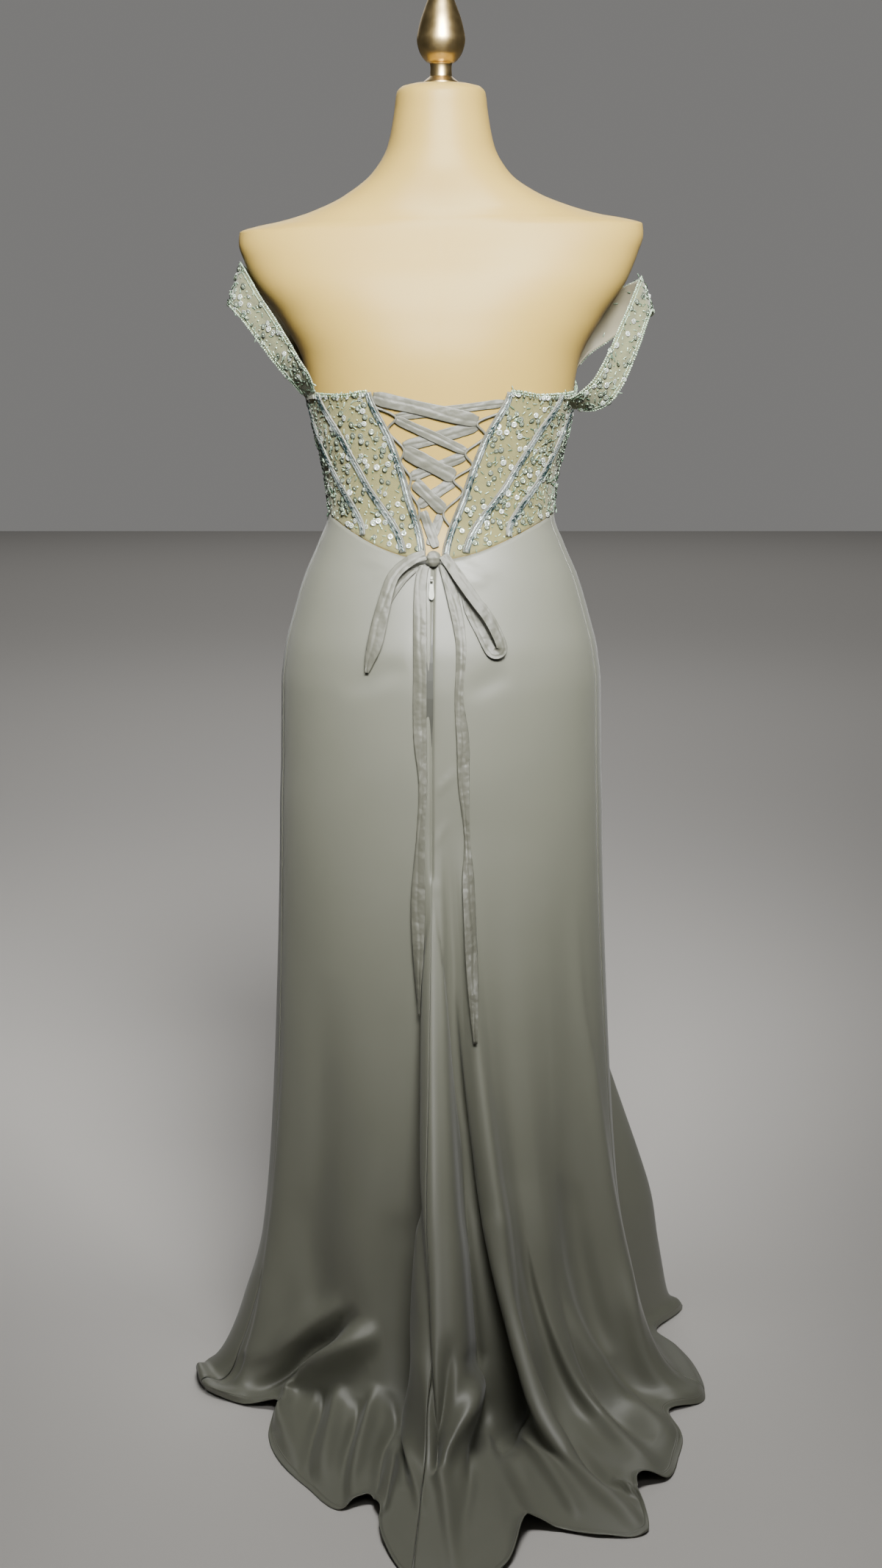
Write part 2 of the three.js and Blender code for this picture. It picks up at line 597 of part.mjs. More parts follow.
function addBodice() {
  const panels = [
    { name: "bodice_back", from: "lace", to: "middle", columns: 5 },
    { name: "bodice_side_back", from: "middle", to: "outer", columns: 4 },
    { name: "bodice_side", from: "outer", to: "side", columns: 6 },
    { name: "bodice_cup", from: "side", to: "princess", columns: 8 },
  ];
  for (const [word, side] of [["left", -1], ["right", 1]]) {
    for (const panel of panels) {
      const [low, high] = side > 0 ? [panel.from, panel.to] : [panel.to, panel.from];
      const edge = (name) => (share) => seamAzimuth(name, side, share);
      addPiece(panel.name + "_" + word, bodicePanel(edge(low), edge(high), panel.columns), "tulle");
    }
  }
  const right = (share) => seamAzimuth("princess", 1, share);
  const left = (share) => 360 + seamAzimuth("princess", -1, share);
  addPiece("bodice_front", bodicePanel(right, left, 14), "tulle");
}

// A boned channel: a low rounded ridge laid along a seam of the bodice
function boneGeometry(name, side) {
  const outline = [[-1, 0], [-0.6, 1], [0.6, 1], [1, 0]];
  const shares = [0.012, ...steps(0, 1, bodiceRows).slice(1, -1), 0.985];
  const rings = shares.map((share) => {
    const middle = seamPoint(name, side, share, 0);
    const along = seamPoint(name, side, Math.min(1, share + 0.01), 0).sub(seamPoint(name, side, Math.max(0, share - 0.01), 0)).normalize();
    const out = new THREE.Vector3(middle.x, middle.y, 0).normalize();
    const across = new THREE.Vector3().crossVectors(along, out).normalize();
    const face = new THREE.Vector3().crossVectors(across, along).normalize();
    return outline.map(([wide, high]) => middle.clone()
      .addScaledVector(across, (wide * boneWidth) / 2)
      .addScaledVector(face, bodiceWall / 2 + boneLift + high * boneRise));
  });
  return loftGeometry(rings);
}

function addBones() {
  for (const [word, side] of [["left", -1], ["right", 1]]) {
    for (const name of ["lace", "middle", "outer", "princess"]) {
      addPiece("bone_" + name + "_" + word, boneGeometry(name, side), "beads");
    }
  }
}

function strapGeometry(sections, side) {
  const edges = ["lower", "upper"].map((edge) =>
    new THREE.CatmullRomCurve3(sections.map((row) => new THREE.Vector3(...row[edge])), false, "centripetal"));
  const clear = bodiceEase + (bodiceWall + strapWall) / 2 + 1.1;
  const rings = steps(0, 1, (sections.length - 1) * 2).map((t) => {
    const [low, high] = edges.map((curve) => curve.getPoint(t));
    const along = edges[0].getTangent(t).add(edges[1].getTangent(t)).normalize();
    const out = new THREE.Vector3().crossVectors(high.clone().sub(low), along).multiplyScalar(side).normalize();
    const across = steps(0, 1, 4).map((share) => {
      const at = low.clone().lerp(high, share);
      const azimuth = Math.atan2(at.x, -at.y) / degree;
      const least = figureRadius(azimuth, at.z) + clear + bust.ease * bustShare(azimuth, at.z);
      const worn = least > Math.hypot(at.x, at.y); // where the strap lies on the bodice
      const face = worn ? new THREE.Vector3(at.x, at.y, 0).normalize() : out;
      return { at: worn ? polar(azimuth, at.z, least) : at, face };
    });
    const outer = across.map(({ at, face }) => at.clone().addScaledVector(face, strapWall / 2));
    const inner = across.map(({ at, face }) => at.clone().addScaledVector(face, -strapWall / 2));
    return [...outer, ...inner.reverse()];
  });
  return loftGeometry(rings);
}

// The skirt: one front and two backs, which meet at the side seams and at the zip
function addSkirt() {
  const last = skirtColumns.length - 1;
  const stretches = [[0, 0.2, 8], [0.2, 0.8, 6], [0.8, 1, 2], [1, 2, 3], [2, 3, 3]];
  const downs = [0, ...stretches.flatMap(([from, to, count]) => steps(from, to, count).slice(1))];
  const panel = (from, to, each) =>
    wallGeometry(skirtPoint, steps(from, to, (to - from) * each), downs, skirtWall, 0.8 * seamGap);
  addPiece("skirt_back_right", panel(0, rightSideColumn, 2), "satin");
  addPiece("skirt_front", panel(rightSideColumn, leftSideColumn, 2), "satin");
  addPiece("skirt_back_left", panel(leftSideColumn, last, 2), "satin");
}

// Lacing loops: a thin cord sewn to the edge bone and standing out in one point for each crossing
function loopTape(side, tips) {
  const stops = [];
  tips.forEach(({ x, z }, k) => {
    for (const height of k ? [z - loopReach] : [z + 10, z - loopReach]) {
      const share = (topZ(0) - height) / (topZ(0) - waistZ(0));
      const edge = seamPoint("lace", side, Math.min(0.95, share), 0);
      const inner = edge.x - side * (boneWidth / 2 + 3.8);
      stops.push([inner, Math.min(height, topZ(0) - 8)]);
    }
    stops.splice(stops.length - 1, 0, [x, z]);
  });
  const points = stops.map(([x, z]) => backPoint(x, z, loopLift));
  const curve = new THREE.CatmullRomCurve3(points, false, "catmullrom", 0.2);
  const stations = steps(0, 1, (stops.length - 1) * 4);
  const rings = stations.map((t) => {
    const centre = curve.getPoint(t);
    const along = curve.getTangent(t).normalize();
    const out = new THREE.Vector3(centre.x, centre.y, 0).normalize();
    const across = new THREE.Vector3().crossVectors(along, out).normalize();
    const face = new THREE.Vector3().crossVectors(across, along);
    return steps(0, 270, 3).map((turn) => centre.clone()
      .addScaledVector(across, cordRadius * Math.cos(turn * degree))
      .addScaledVector(face, cordRadius * Math.sin(turn * degree)));
  });
  return loftGeometry(rings);
}

function addLacing() {
  addPiece("lace_loops_left", loopTape(-1, leftLoopTips), "satin");
  addPiece("lace_loops_right", loopTape(1, rightLoopTips), "satin");
  laceStrands.forEach((strand, k) => {
    const lift = strand.upper ? upperLace : lowerLace;
    const path = steps(0, 1, 6).map((t) => {
      const x = strand.from[0] + (strand.to[0] - strand.from[0]) * t;
      const z = strand.from[1] + (strand.to[1] - strand.from[1]) * t;
      return { at: backPoint(x, z, lift), width: strand.width, out: backFacing(x, z) };
    });
    addPiece("lace_strand_" + (k + 1), ribbonGeometry(path, ribbonThick), "satin");
  });
}

// A ribbon's path over the skirt along a route
function hangingRibbon(route) {
  const lowest = waistZ(0) - 3;
  return steps(0, route.length - 1, (route.length - 1) * 3).map((place) => {
    const { x, z, width, lift } = rowAt(route, place);
    const level = Math.min(z, lowest);
    return { at: skirtBack(x, level, lift + skirtWall / 2).setZ(z), width, out: skirtFacing(x, level) };
  });
}

function addBow() {
  const knotShape = new THREE.SphereGeometry(1, 12, 8).scale(knot.wide, knot.deep, knot.tall);
  const knotPiece = addPiece("bow_knot", knotShape, "satin");
  knotPiece.position.copy(skirtBack(knot.x, waistZ(0) - 3, knot.lift + skirtWall / 2)).setZ(knot.z);
  addPiece("bow_tail_left", ribbonGeometry(hangingRibbon(leftTail), ribbonThick), "satin");
  addPiece("bow_tail_right", ribbonGeometry(hangingRibbon(rightTail), ribbonThick), "satin");
  for (const [name, route] of [["bow_loop_left", leftLoop], ["bow_loop_right", rightLoop]]) {
    const path = hangingRibbon(route);
    let last = new THREE.Vector3(0, 0, 1); // the ribbon keeps one edge on top as it leaves the knot
    path.forEach((stop, k) => {
      const run = path[Math.min(path.length - 1, k + 1)].at.clone().sub(path[Math.max(0, k - 1)].at);
      const turned = new THREE.Vector3(-run.z, 0, run.x);
      if (turned.dot(last) < 0) turned.negate();
      if (turned.length() > 0.35 * run.length()) last = turned.normalize();
      stop.across = last.clone().addScaledVector(stop.out, -last.dot(stop.out)).normalize();
    });
    addPiece(name, ribbonGeometry(path, ribbonThick), "satin");
  }
}

// The zip: a tape behind the seam, a slider at its top and a pull tab that turns in the slider's arch
function addZip() {
  const tape = steps(zip.top, zip.foot, 16).map((z) => {
    const at = backPoint(zip.x, Math.max(z, 745), zip.tapeLift).setZ(z);
    return { at, width: zip.tapeWidth, out: new THREE.Vector3(0, -1, 0) };
  });
  addPiece("zip_tape", ribbonGeometry(tape, zip.tapeThick), "satin");

  // Slider, drawn from the side round its pivot as outward and up: a plate with an arch standing out of it
  const meet = Math.sqrt(slider.archRadius ** 2 - slider.plateFront ** 2);
  const open = Math.PI - Math.atan2(meet, slider.plateFront);
  const profile = new THREE.Shape();
  profile.moveTo(-slider.plateBack, -slider.below);
  profile.lineTo(-slider.plateFront, -slider.below);
  for (const turn of steps(-open, open, 16)) {
    profile.lineTo(slider.archRadius * Math.cos(turn), slider.archRadius * Math.sin(turn));
  }
  profile.lineTo(-slider.plateFront, slider.above);
  profile.lineTo(-slider.plateBack, slider.above);
  profile.holes.push(new THREE.Path().absarc(0, 0, slider.hole / 2, 0, 2 * Math.PI, true));
  const body = new THREE.ExtrudeGeometry(profile, { depth: slider.wide, bevelEnabled: false, curveSegments: 8 });
  body.translate(0, 0, -slider.wide / 2);
  const [east, north, up] = [[1, 0, 0], [0, 1, 0], [0, 0, 1]].map((axis) => new THREE.Vector3(...axis));
  body.applyMatrix4(new THREE.Matrix4().makeBasis(north.clone().negate(), up, east.clone().negate()));
  const skin = skirtBack(zip.x, zip.pivot, skirtWall / 2);
  const lower = skirtBack(zip.x, zip.pivot - 16, skirtWall / 2);
  const slope = Math.atan2(skin.y - lower.y, skin.z - lower.z);
  const hang = new THREE.Group();
  hang.name = "zip_hang";
  hang.position.copy(skin);
  hang.position.y -= (slider.plateBack + 0.4) / Math.cos(slope);
  hang.rotation.x = -slope;
  group.add(hang);
  addPiece("zip_slider", body, "steel", hang);

  // Pull tab: a bar across its eye, then a drop-shaped plate
  const tab = new THREE.Shape();
  const half = pull.wide / 2;
  tab.moveTo(-half * 0.75, pull.bar / 2);
  tab.lineTo(half * 0.75, pull.bar / 2);
  tab.bezierCurveTo(half * 0.8, -6, half * 0.7, -8, half, -13);
  tab.bezierCurveTo(half * 1.15, -18, half * 0.7, -pull.long, 0, -pull.long);
  tab.bezierCurveTo(-half * 0.7, -pull.long, -half * 1.15, -18, -half, -13);
  tab.bezierCurveTo(-half * 0.7, -8, -half * 0.8, -6, -half * 0.75, pull.bar / 2);
  const eye = [[-1, pull.bar / 2], [-1, pull.eyeFoot], [1, pull.eyeFoot], [1, pull.bar / 2]];
  tab.holes.push(new THREE.Path(eye.map(([x, y]) => new THREE.Vector2(x * pull.eyeHalf, -y))));
  const plate = new THREE.ExtrudeGeometry(tab, { depth: pull.thick, bevelEnabled: false, curveSegments: 6 });
  plate.translate(0, 0, -pull.thick / 2);
  plate.applyMatrix4(new THREE.Matrix4().makeBasis(east, up, north.clone().negate()));
  addPiece("zip_pull", plate, "steel", hang);
}

addForm();
addBodice();
addBones();
addPiece("strap_left", strapGeometry(leftStrap, -1), "strap");
addPiece("strap_right", strapGeometry(rightStrap, 1), "strap");
addSkirt();
addLacing();
addBow();
addZip();

export default group;
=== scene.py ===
import bpy
import numpy as np
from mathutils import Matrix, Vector


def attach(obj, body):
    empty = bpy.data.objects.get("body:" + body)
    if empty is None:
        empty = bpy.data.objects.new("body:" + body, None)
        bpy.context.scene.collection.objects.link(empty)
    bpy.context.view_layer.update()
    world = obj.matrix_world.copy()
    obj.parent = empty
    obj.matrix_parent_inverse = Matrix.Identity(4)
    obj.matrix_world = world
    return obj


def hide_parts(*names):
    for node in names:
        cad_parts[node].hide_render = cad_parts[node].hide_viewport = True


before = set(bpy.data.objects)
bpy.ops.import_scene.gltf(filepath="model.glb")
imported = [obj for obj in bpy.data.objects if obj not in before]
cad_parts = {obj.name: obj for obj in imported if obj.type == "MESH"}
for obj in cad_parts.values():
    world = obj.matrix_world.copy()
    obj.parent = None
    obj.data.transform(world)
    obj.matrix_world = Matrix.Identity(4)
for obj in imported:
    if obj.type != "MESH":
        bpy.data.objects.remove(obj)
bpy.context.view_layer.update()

rng = np.random.default_rng(11)
degree = np.pi / 180

# Sizes are in millimetres, z up, the laced back facing -y. An azimuth runs in degrees round z:
# 0 is the centre back, 90 the wearer's right, 180 the centre front.
gown = {"waistSide": 980, "waistBack": 46, "waistFront": 30, "backTilt": -4.5, "bodiceEase": 2.1,
        "skirtEase": 3.2, "easeRun": 22, "wornFoot": 790, "freeFrom": 800, "freeDrop": 90, "flare": 650,
        "fan": 620, "bend": 34, "bendReach": 30, "skirtWall": 1.5, "seamGap": 0.3}
eye = {"away": 3000, "high": 1150, "down": 8.9, "lens": 63.27}  # where the camera stands and how it looks

figure = np.array([  # z, half width, depth behind, depth before, squareness
    (690, 150, 98, 88, 2), (704, 166, 112, 98, 2), (740, 171, 119, 103, 2), (790, 171, 122, 104, 2),
    (830, 167, 120, 103, 2), (870, 157, 113, 101, 2), (910, 145, 104, 98, 2), (945, 130, 93, 94, 2),
    (975, 120, 86, 91, 2.05), (1010, 122, 86, 94, 2.1), (1055, 132, 90, 102, 2.15), (1100, 141, 95, 108, 2.2),
    (1140, 148, 97, 106, 2.3), (1186, 172, 93, 94, 2.4), (1223, 198, 86, 76, 2.45), (1250, 210, 77, 60, 2.45),
    (1270, 216, 70, 47, 2.4), (1281, 215, 66.5, 42, 2.3), (1287, 196, 65, 42, 2.15), (1292, 170, 63.5, 43, 2.05),
    (1301, 139, 61.5, 45, 2), (1316, 104, 60, 47, 2), (1339, 73, 59, 48, 2), (1366, 57, 55, 48, 2),
    (1400, 50, 50, 48, 2), (1422, 47, 47, 46, 2), (1429, 40, 40, 40, 2), (1431, 30, 30, 30, 2)], float)
bust = {"azimuth": 150, "z": 1128, "rise": 24, "wide": 19, "tall": 40, "ease": 1.6}
hang = np.array([(650, 174, 120, 106, 2), (720, 172, 121, 105, 2)], float)
topEdge = np.array([(0, 1110), (42, 1111), (56, 1107), (70, 1108), (90, 1113), (110, 1134), (128, 1166),
                    (145, 1178), (162, 1164), (180, 1136)], float)
seamNames = ["lace", "middle", "outer", "side", "princess"]
seamLines = np.array([  # share of the way down, half angle of each seam, and the tilt of the whole
    (0, 40.8, 69.3, 85, 112, 149, -1.2), (0.33, 29.6, 58, 77.5, 110, 149, -2.3),
    (0.63, 20.2, 46, 68, 108, 152, -3.4), (1, 7.8, 20, 47, 106, 160, -4.6)], float)
skirtRows = np.array([  # azimuth at the hip and hem, radius at the floor and hem, kick, and the edge's arch
    (-4.5, -3, 300, 535, 0.1, 0), (-2, 2, 304, 548, 0.1, 0), (0, 7, 286, 515, 0.15, 6),
    (2, 11, 214, 440, 0.3, 24), (4, 15, 180, 442, 0.4, 4), (6.5, 20, 222, 470, 0.35, 3),
    (10, 25.5, 304, 474, 0.35, 0), (17, 31, 256, 388, 0.45, 17), (26, 38, 222, 381, 0.6, 0),
    (36, 46, 240, 348, 0.55, 0), (47, 54, 235, 320, 0.6, 0), (57, 64, 212, 278, 0.65, 4),
    (68, 73, 266, 302, 0.6, 0), (78, 80, 260, 300, 0.55, 0), (90, 91, 244, 293, 0.5, 0),
    (103, 105, 240, 289, 0.4, 0), (115, 118, 256, 290, 0.05, 3), (127, 129, 340, 374, -0.4, 0),
    (142, 141, 256, 276, 0.1, 3), (160, 159, 274, 292, 0.5, 0), (178, 178, 236, 252, 0.5, 2),
    (198, 198, 268, 286, 0.5, 0), (216, 216, 228, 248, 0.5, 3), (235, 236, 250, 270, 0.5, 0),
    (252, 253, 226, 248, 0.6, 0), (267, 268, 256, 274, 0.65, 0), (279, 281, 244, 268, 0.7, 0),
    (290, 294, 198, 240, 0.7, 2), (300, 303, 172, 216, 0.6, 14), (310, 314, 168, 258, 0.6, 0),
    (322, 328, 162, 312, 0.6, 0), (333, 337, 160, 350, 0.6, 0), (342.5, 344.5, 166, 390, 0.5, 0),
    (349, 349.5, 182, 372, 0.35, 15), (352.5, 353, 250, 462, 0.15, 6), (355.5, 357, 300, 535, 0.1, 0)], float)
rightSide, leftSide, backHalf, lastColumn = 13, 26, 9, len(skirtRows) - 1


def smoothTable(table, column, at):  # cubic between rows whose slope is the harmonic mean of its neighbours'
    keys, values = table[:, 0], table[:, column]
    slope = np.diff(values) / np.diff(keys)
    same = slope[:-1] * slope[1:] > 0
    mean = 2 * slope[:-1] * slope[1:] / np.where(same, slope[:-1] + slope[1:], 1)
    tangent = np.concatenate([[0], np.where(same, mean, 0), [0]])
    at = np.clip(at, keys[0], keys[-1])
    i = np.clip(np.searchsorted(keys, at, side="right") - 1, 0, len(keys) - 2)
    run = keys[i + 1] - keys[i]
    t = (at - keys[i]) / run
    h = t * t * (3 - 2 * t)
    ends = t * (1 - t) ** 2 * run * tangent[i] - t * t * (1 - t) * run * tangent[i + 1]
    return values[i] * (1 - h) + values[i + 1] * h + ends


def splineRows(rows, place):  # Catmull-Rom between rows, for every column at once
    rows, place = np.asarray(rows, float), np.asarray(place, float)
    last = len(rows) - 1
    i = np.clip(np.floor(place).astype(int), 0, last - 1)
    t = (place - i)[..., None]
    a, b, c, d = (rows[np.clip(i + k, 0, last)] for k in (-1, 0, 1, 2))
    steep, after = (c - a) / 2, (d - b) / 2
    return b + steep * t + (3 * (c - b) - 2 * steep - after) * t ** 2 + (2 * (b - c) + steep + after) * t ** 3


def softStep(low, high, at):  # 0 below low, 1 above high, smooth between
    t = np.clip((at - low) / (high - low), 0, 1)
    return t * t * (3 - 2 * t)


def polar(azimuth, z, radius):  # azimuth from the back, so x = r sin a and y = -r cos a
    azimuth, z, radius = np.broadcast_arrays(azimuth * degree, z, radius)
    return np.stack([np.sin(azimuth) * radius, -np.cos(azimuth) * radius, z], -1)


def sectionRadius(table, azimuth, z):  # squared ellipse: (|sin|/half)^n + (|cos|/depth)^n = 1
    cosine = np.cos(azimuth * degree)
    half, back, front, power = (smoothTable(table, k, z) for k in (1, 2, 3, 4))
    across = np.abs(np.sin(azimuth * degree) / half) ** power
    return (across + np.abs(cosine / np.where(cosine > 0, back, front)) ** power) ** (-1 / power)


def signedAzimuth(azimuth):  # brought into -180 to 180
    return np.mod(azimuth + 180, 360) - 180


def bustShare(azimuth, z):  # bell round the fullest point of each cup
    beside = (np.abs(signedAzimuth(azimuth)) - bust["azimuth"]) / bust["wide"]
    return np.exp(-beside ** 2 - ((z - bust["z"]) / bust["tall"]) ** 2)


def figureRadius(azimuth, z):  # the figure's section with the bust's bell added
    return sectionRadius(figure, azimuth, z) + bust["rise"] * bustShare(azimuth, z)


def topZ(azimuth):  # height of the bodice's top edge, the same on both sides
    return smoothTable(topEdge, 1, np.abs(signedAzimuth(azimuth)))


def waistZ(azimuth):  # side height less a dip that grows with |cos|^1.6 to the back and front
    turned = azimuth - gown["backTilt"] * np.maximum(0, np.cos(azimuth * degree))
    cosine = np.cos(turned * degree)
    return gown["waistSide"] - np.where(cosine > 0, gown["waistBack"], gown["waistFront"]) * np.abs(cosine) ** 1.6


def bodicePoint(azimuth, z, lift):  # the figure's radius, the bodice's ease and a lift
    radius = figureRadius(azimuth, z) + gown["bodiceEase"] + bust["ease"] * bustShare(azimuth, z)
    return polar(azimuth, z, radius + lift)


def seamAzimuth(name, side, share):  # the seam's half angle on its side, and a tilt that fades to the front
    half = smoothTable(seamLines, 1 + seamNames.index(name), share)
    return side * half + smoothTable(seamLines, 6, share) * (1 - half / 180)


def seamPoint(name, side, share, lift):  # share runs from the top edge to the waist
    azimuth = seamAzimuth(name, side, share)
    return bodicePoint(azimuth, topZ(azimuth) + (waistZ(azimuth) - topZ(azimuth)) * share, lift)


def hangRadius(azimuth, z):  # worn over the figure above z 800, free of it below z 710
    below = np.clip((waistZ(azimuth) - z) / gown["easeRun"], 0, 1)
    worn = figureRadius(azimuth, np.maximum(z, gown["wornFoot"])) + gown["bodiceEase"]
    worn = worn + (gown["skirtEase"] - gown["bodiceEase"]) * below
    free = sectionRadius(hang, azimuth, z) + gown["skirtEase"]
    return worn + (free - worn) * softStep(0, gown["freeDrop"], gown["freeFrom"] - z)


before, after = skirtRows[-2].copy(), skirtRows[1].copy()
before[:2], after[:2] = (-7.5, -7), (358, 362)
roundRows = np.vstack([before, skirtRows, after])  # the neighbour of each end added, across the seam


def fallPoint(column, z):  # azimuth turns from hip to hem; radius adds a flare of drop^1.4 and drop^7
    hip, end, touch, kick = column[..., 0], column[..., 1], column[..., 2], column[..., 4]
    azimuth = hip + (end - hip) * np.clip((gown["fan"] - z) / gown["fan"], 0, 1)
    radius = hangRadius(azimuth, np.maximum(z, gown["flare"]))
    drop = np.maximum(0, 1 - z / gown["flare"])
    return azimuth, radius + (touch - radius) * ((1 - kick) * drop ** 1.4 + kick * drop ** 7)


def skirtPoint(place, down):  # down 0-1 hangs from the waist, 1-2 bends on a parabola, 2-3 lies on the floor
    place, down = np.broadcast_arrays(np.asarray(place, float), np.asarray(down, float))
    column = splineRows(roundRows, place + 1)
    end, touch, hem, lift = column[..., 1], column[..., 2], column[..., 3], column[..., 5]
    floorZ = gown["skirtWall"] / 2
    top = waistZ(column[..., 0]) - gown["seamGap"] / 2
    z = top + (gown["bend"] - top) * np.minimum(down, 1)
    azimuth, radius = fallPoint(column, z)
    t = np.clip(down - 1, 0, 1)
    landed = touch + np.minimum(gown["bendReach"], 0.6 * (hem - touch))
    bendRadius = radius * (1 - t) ** 2 + 2 * touch * t * (1 - t) + landed * t * t
    bendZ = floorZ + (gown["bend"] - floorZ) * (1 - t) ** 2
    s = np.clip(down - 2, 0, 1)
    flatRadius = landed + (hem - landed) * s
    flatZ = floorZ + np.maximum(0, lift) * s * s
    radius = np.where(down <= 1, radius, np.where(down <= 2, bendRadius, flatRadius))
    z = np.where(down <= 1, z, np.where(down <= 2, bendZ, flatZ))
    return polar(np.where(down <= 1, azimuth, end), z, radius)


def skirtBack(x, z, lift):  # the fallen cloth's point at x and z, found by halving the run of columns
    x, z = np.broadcast_arrays(np.asarray(x, float), np.asarray(z, float))

    def fallen(place):
        azimuth, radius = fallPoint(splineRows(roundRows, place + 1), z)
        return azimuth, radius, np.sin(azimuth * degree) * radius
    right = x > fallen(np.zeros_like(x))[2]
    low, high = np.where(right, 0, float(lastColumn - backHalf)), np.where(right, float(backHalf), lastColumn)
    for turn in range(30):
        middle = (low + high) / 2
        short = fallen(middle)[2] < x
        low, high = np.where(short, middle, low), np.where(short, high, middle)
    azimuth, radius, _ = fallen(low)
    return polar(azimuth, z, radius) + np.array([0, -1, 0]) * np.asarray(lift)[..., None]


def backPoint(x, z, lift):  # point on the form's back at x and z, lifted off it
    azimuth = np.zeros_like(np.asarray(x, float) + z)
    for turn in range(14):
        azimuth = np.arcsin(np.clip(x / figureRadius(azimuth, z), -0.95, 0.95)) / degree
    return polar(azimuth, z, figureRadius(azimuth, z) + lift)


def facing(point, x, z):  # outward normal of a surface point(x, z, lift) of the back
    sideways = (point(x + 2, z, 0 * x)[..., 1] - point(x - 2, z, 0 * x)[..., 1]) / 4
    upwards = (point(x, z + 2, 0 * x)[..., 1] - point(x, z - 2, 0 * x)[..., 1]) / 4
    return unit(np.stack([sideways, -np.ones_like(sideways), upwards], -1))


def unit(v):  # each vector over its own length
    return v / np.maximum(np.linalg.norm(v, axis=-1, keepdims=True), 1e-9)


def runLength(line):  # distance run at each point of a line
    return np.concatenate([[0], np.cumsum(np.linalg.norm(np.diff(line, axis=0), axis=1))])


def valuesAt(at, keys, values):  # each column of a table of values between its keys
    return np.stack([np.interp(at, keys, column) for column in values.T], -1)


def pathFrame(path, out):  # along a path, across it, and the way it faces
    along = unit(np.gradient(path, axis=0))
    across = unit(np.cross(along, out))
    return along, across, np.cross(across, along)


# Meshes
def gridFaces(rows, columns, closed=False):  # quads between the rows and columns of a grid of points
    i = np.arange(rows - 1)[:, None] * columns
    j = np.arange(columns if closed else columns - 1)[None, :]
    k = (j + 1) % columns
    return np.stack(np.broadcast_arrays(i + j, i + k, i + columns + k, i + columns + j), -1).reshape(-1, 4)


def closedFaces(rings, around):  # faces of a tube of rings, with a face over each end
    ends = [list(range(around))[::-1], list(range((rings - 1) * around, rings * around))]
    return [list(face) for face in gridFaces(rings, around, True)] + ends


def addMesh(name, points, faces, materials, uv=None, values=None):
    # points in millimetres become a mesh in metres that rides on the gown, with uv and values given by point
    mesh = bpy.data.meshes.new(name)
    metres = np.asarray(points, float).reshape(-1, 3) / 1000
    mesh.from_pydata(metres.tolist(), [], [list(map(int, face)) for face in faces])
    obj = bpy.data.objects.new(name, mesh)
    bpy.context.scene.collection.objects.link(obj)
    for material in materials if isinstance(materials, list) else [materials]:
        mesh.materials.append(material)
    if uv is not None:
        corner = np.empty(len(mesh.loops), int)
        mesh.loops.foreach_get("vertex_index", corner)
        layer = mesh.uv_layers.new(name="cloth")
        layer.data.foreach_set("uv", np.asarray(uv, float).reshape(-1, 2)[corner].ravel())
    for key, value in (values or {}).items():
        mesh.attributes.new(key, "FLOAT", "POINT").data.foreach_set("value", np.asarray(value, float).ravel())
    mesh.polygons.foreach_set("use_smooth", [True] * len(mesh.polygons))
    mesh.update()
    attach(obj, "gown")
    return obj


def clothUv(grid):  # length of cloth across and down each grid point, in metres
    across = np.linalg.norm(np.diff(grid, axis=1), axis=-1)
    down = np.linalg.norm(np.diff(grid, axis=0), axis=-1)
    u = np.pad(np.cumsum(across, 1), ((0, 0), (1, 0)))
    v = np.pad(np.cumsum(down, 0), ((1, 0), (0, 0)))
    return np.stack([u - u[:, -1:] / 2, -v], -1) / 1000


def gridNormals(grid):  # cross product of the ways across and down the grid
    return unit(np.cross(np.gradient(grid, axis=1), np.gradient(grid, axis=0)))


def outwardNormals(grid, out, rows=slice(None)):  # turned as a whole to the side that "out" points to
    normal = gridNormals(grid)
    return normal * np.sign((normal[rows] * out[rows]).sum(-1).mean())


def radial(grid):  # level, straight out from the pole
    return unit(grid * [1, 1, 0])


def thicken(obj, thick, inner=0):  # a wall with half its thickness on each side
    wall = obj.modifiers.new("wall", "SOLIDIFY")
    wall.thickness = thick / 1000
    wall.offset = 0
    wall.use_rim = True
    wall.material_offset = inner


def scatter(name, shape, centres, across, out, sizes, material, tint, rim=False):
    # every copy is the shape turned so that its x lies along "across" and its z along "out"
    points, faces = shape
    side = unit(np.cross(out, across))
    frames = np.stack([np.cross(side, out), side, out], 1)
    placed = centres[:, None, :] + np.einsum("pk,nkc->npc", points, frames) * sizes[:, None, None]
    count, corners = len(centres), len(points)
    copies = [face + corners * k for k in range(count) for face in map(np.asarray, faces)]
    values = {"tint": np.repeat(tint, corners)}
    if rim:
        values["rim"] = np.tile(np.hypot(points[:, 0], points[:, 1]), count)
    return addMesh(name, placed, copies, material, values=values)


# A ribbon's pressed pleat sways along it with a low ridge beside it, as shares of the width, over cross wrinkles
stripSpec = {"columns": 17, "sway": 0.16, "quiver": 0.05, "pleat": 0.07, "ridge": 0.6, "ridgeAt": 0.2,
             "ridgeWide": 0.14, "wrinkle": 0.45}


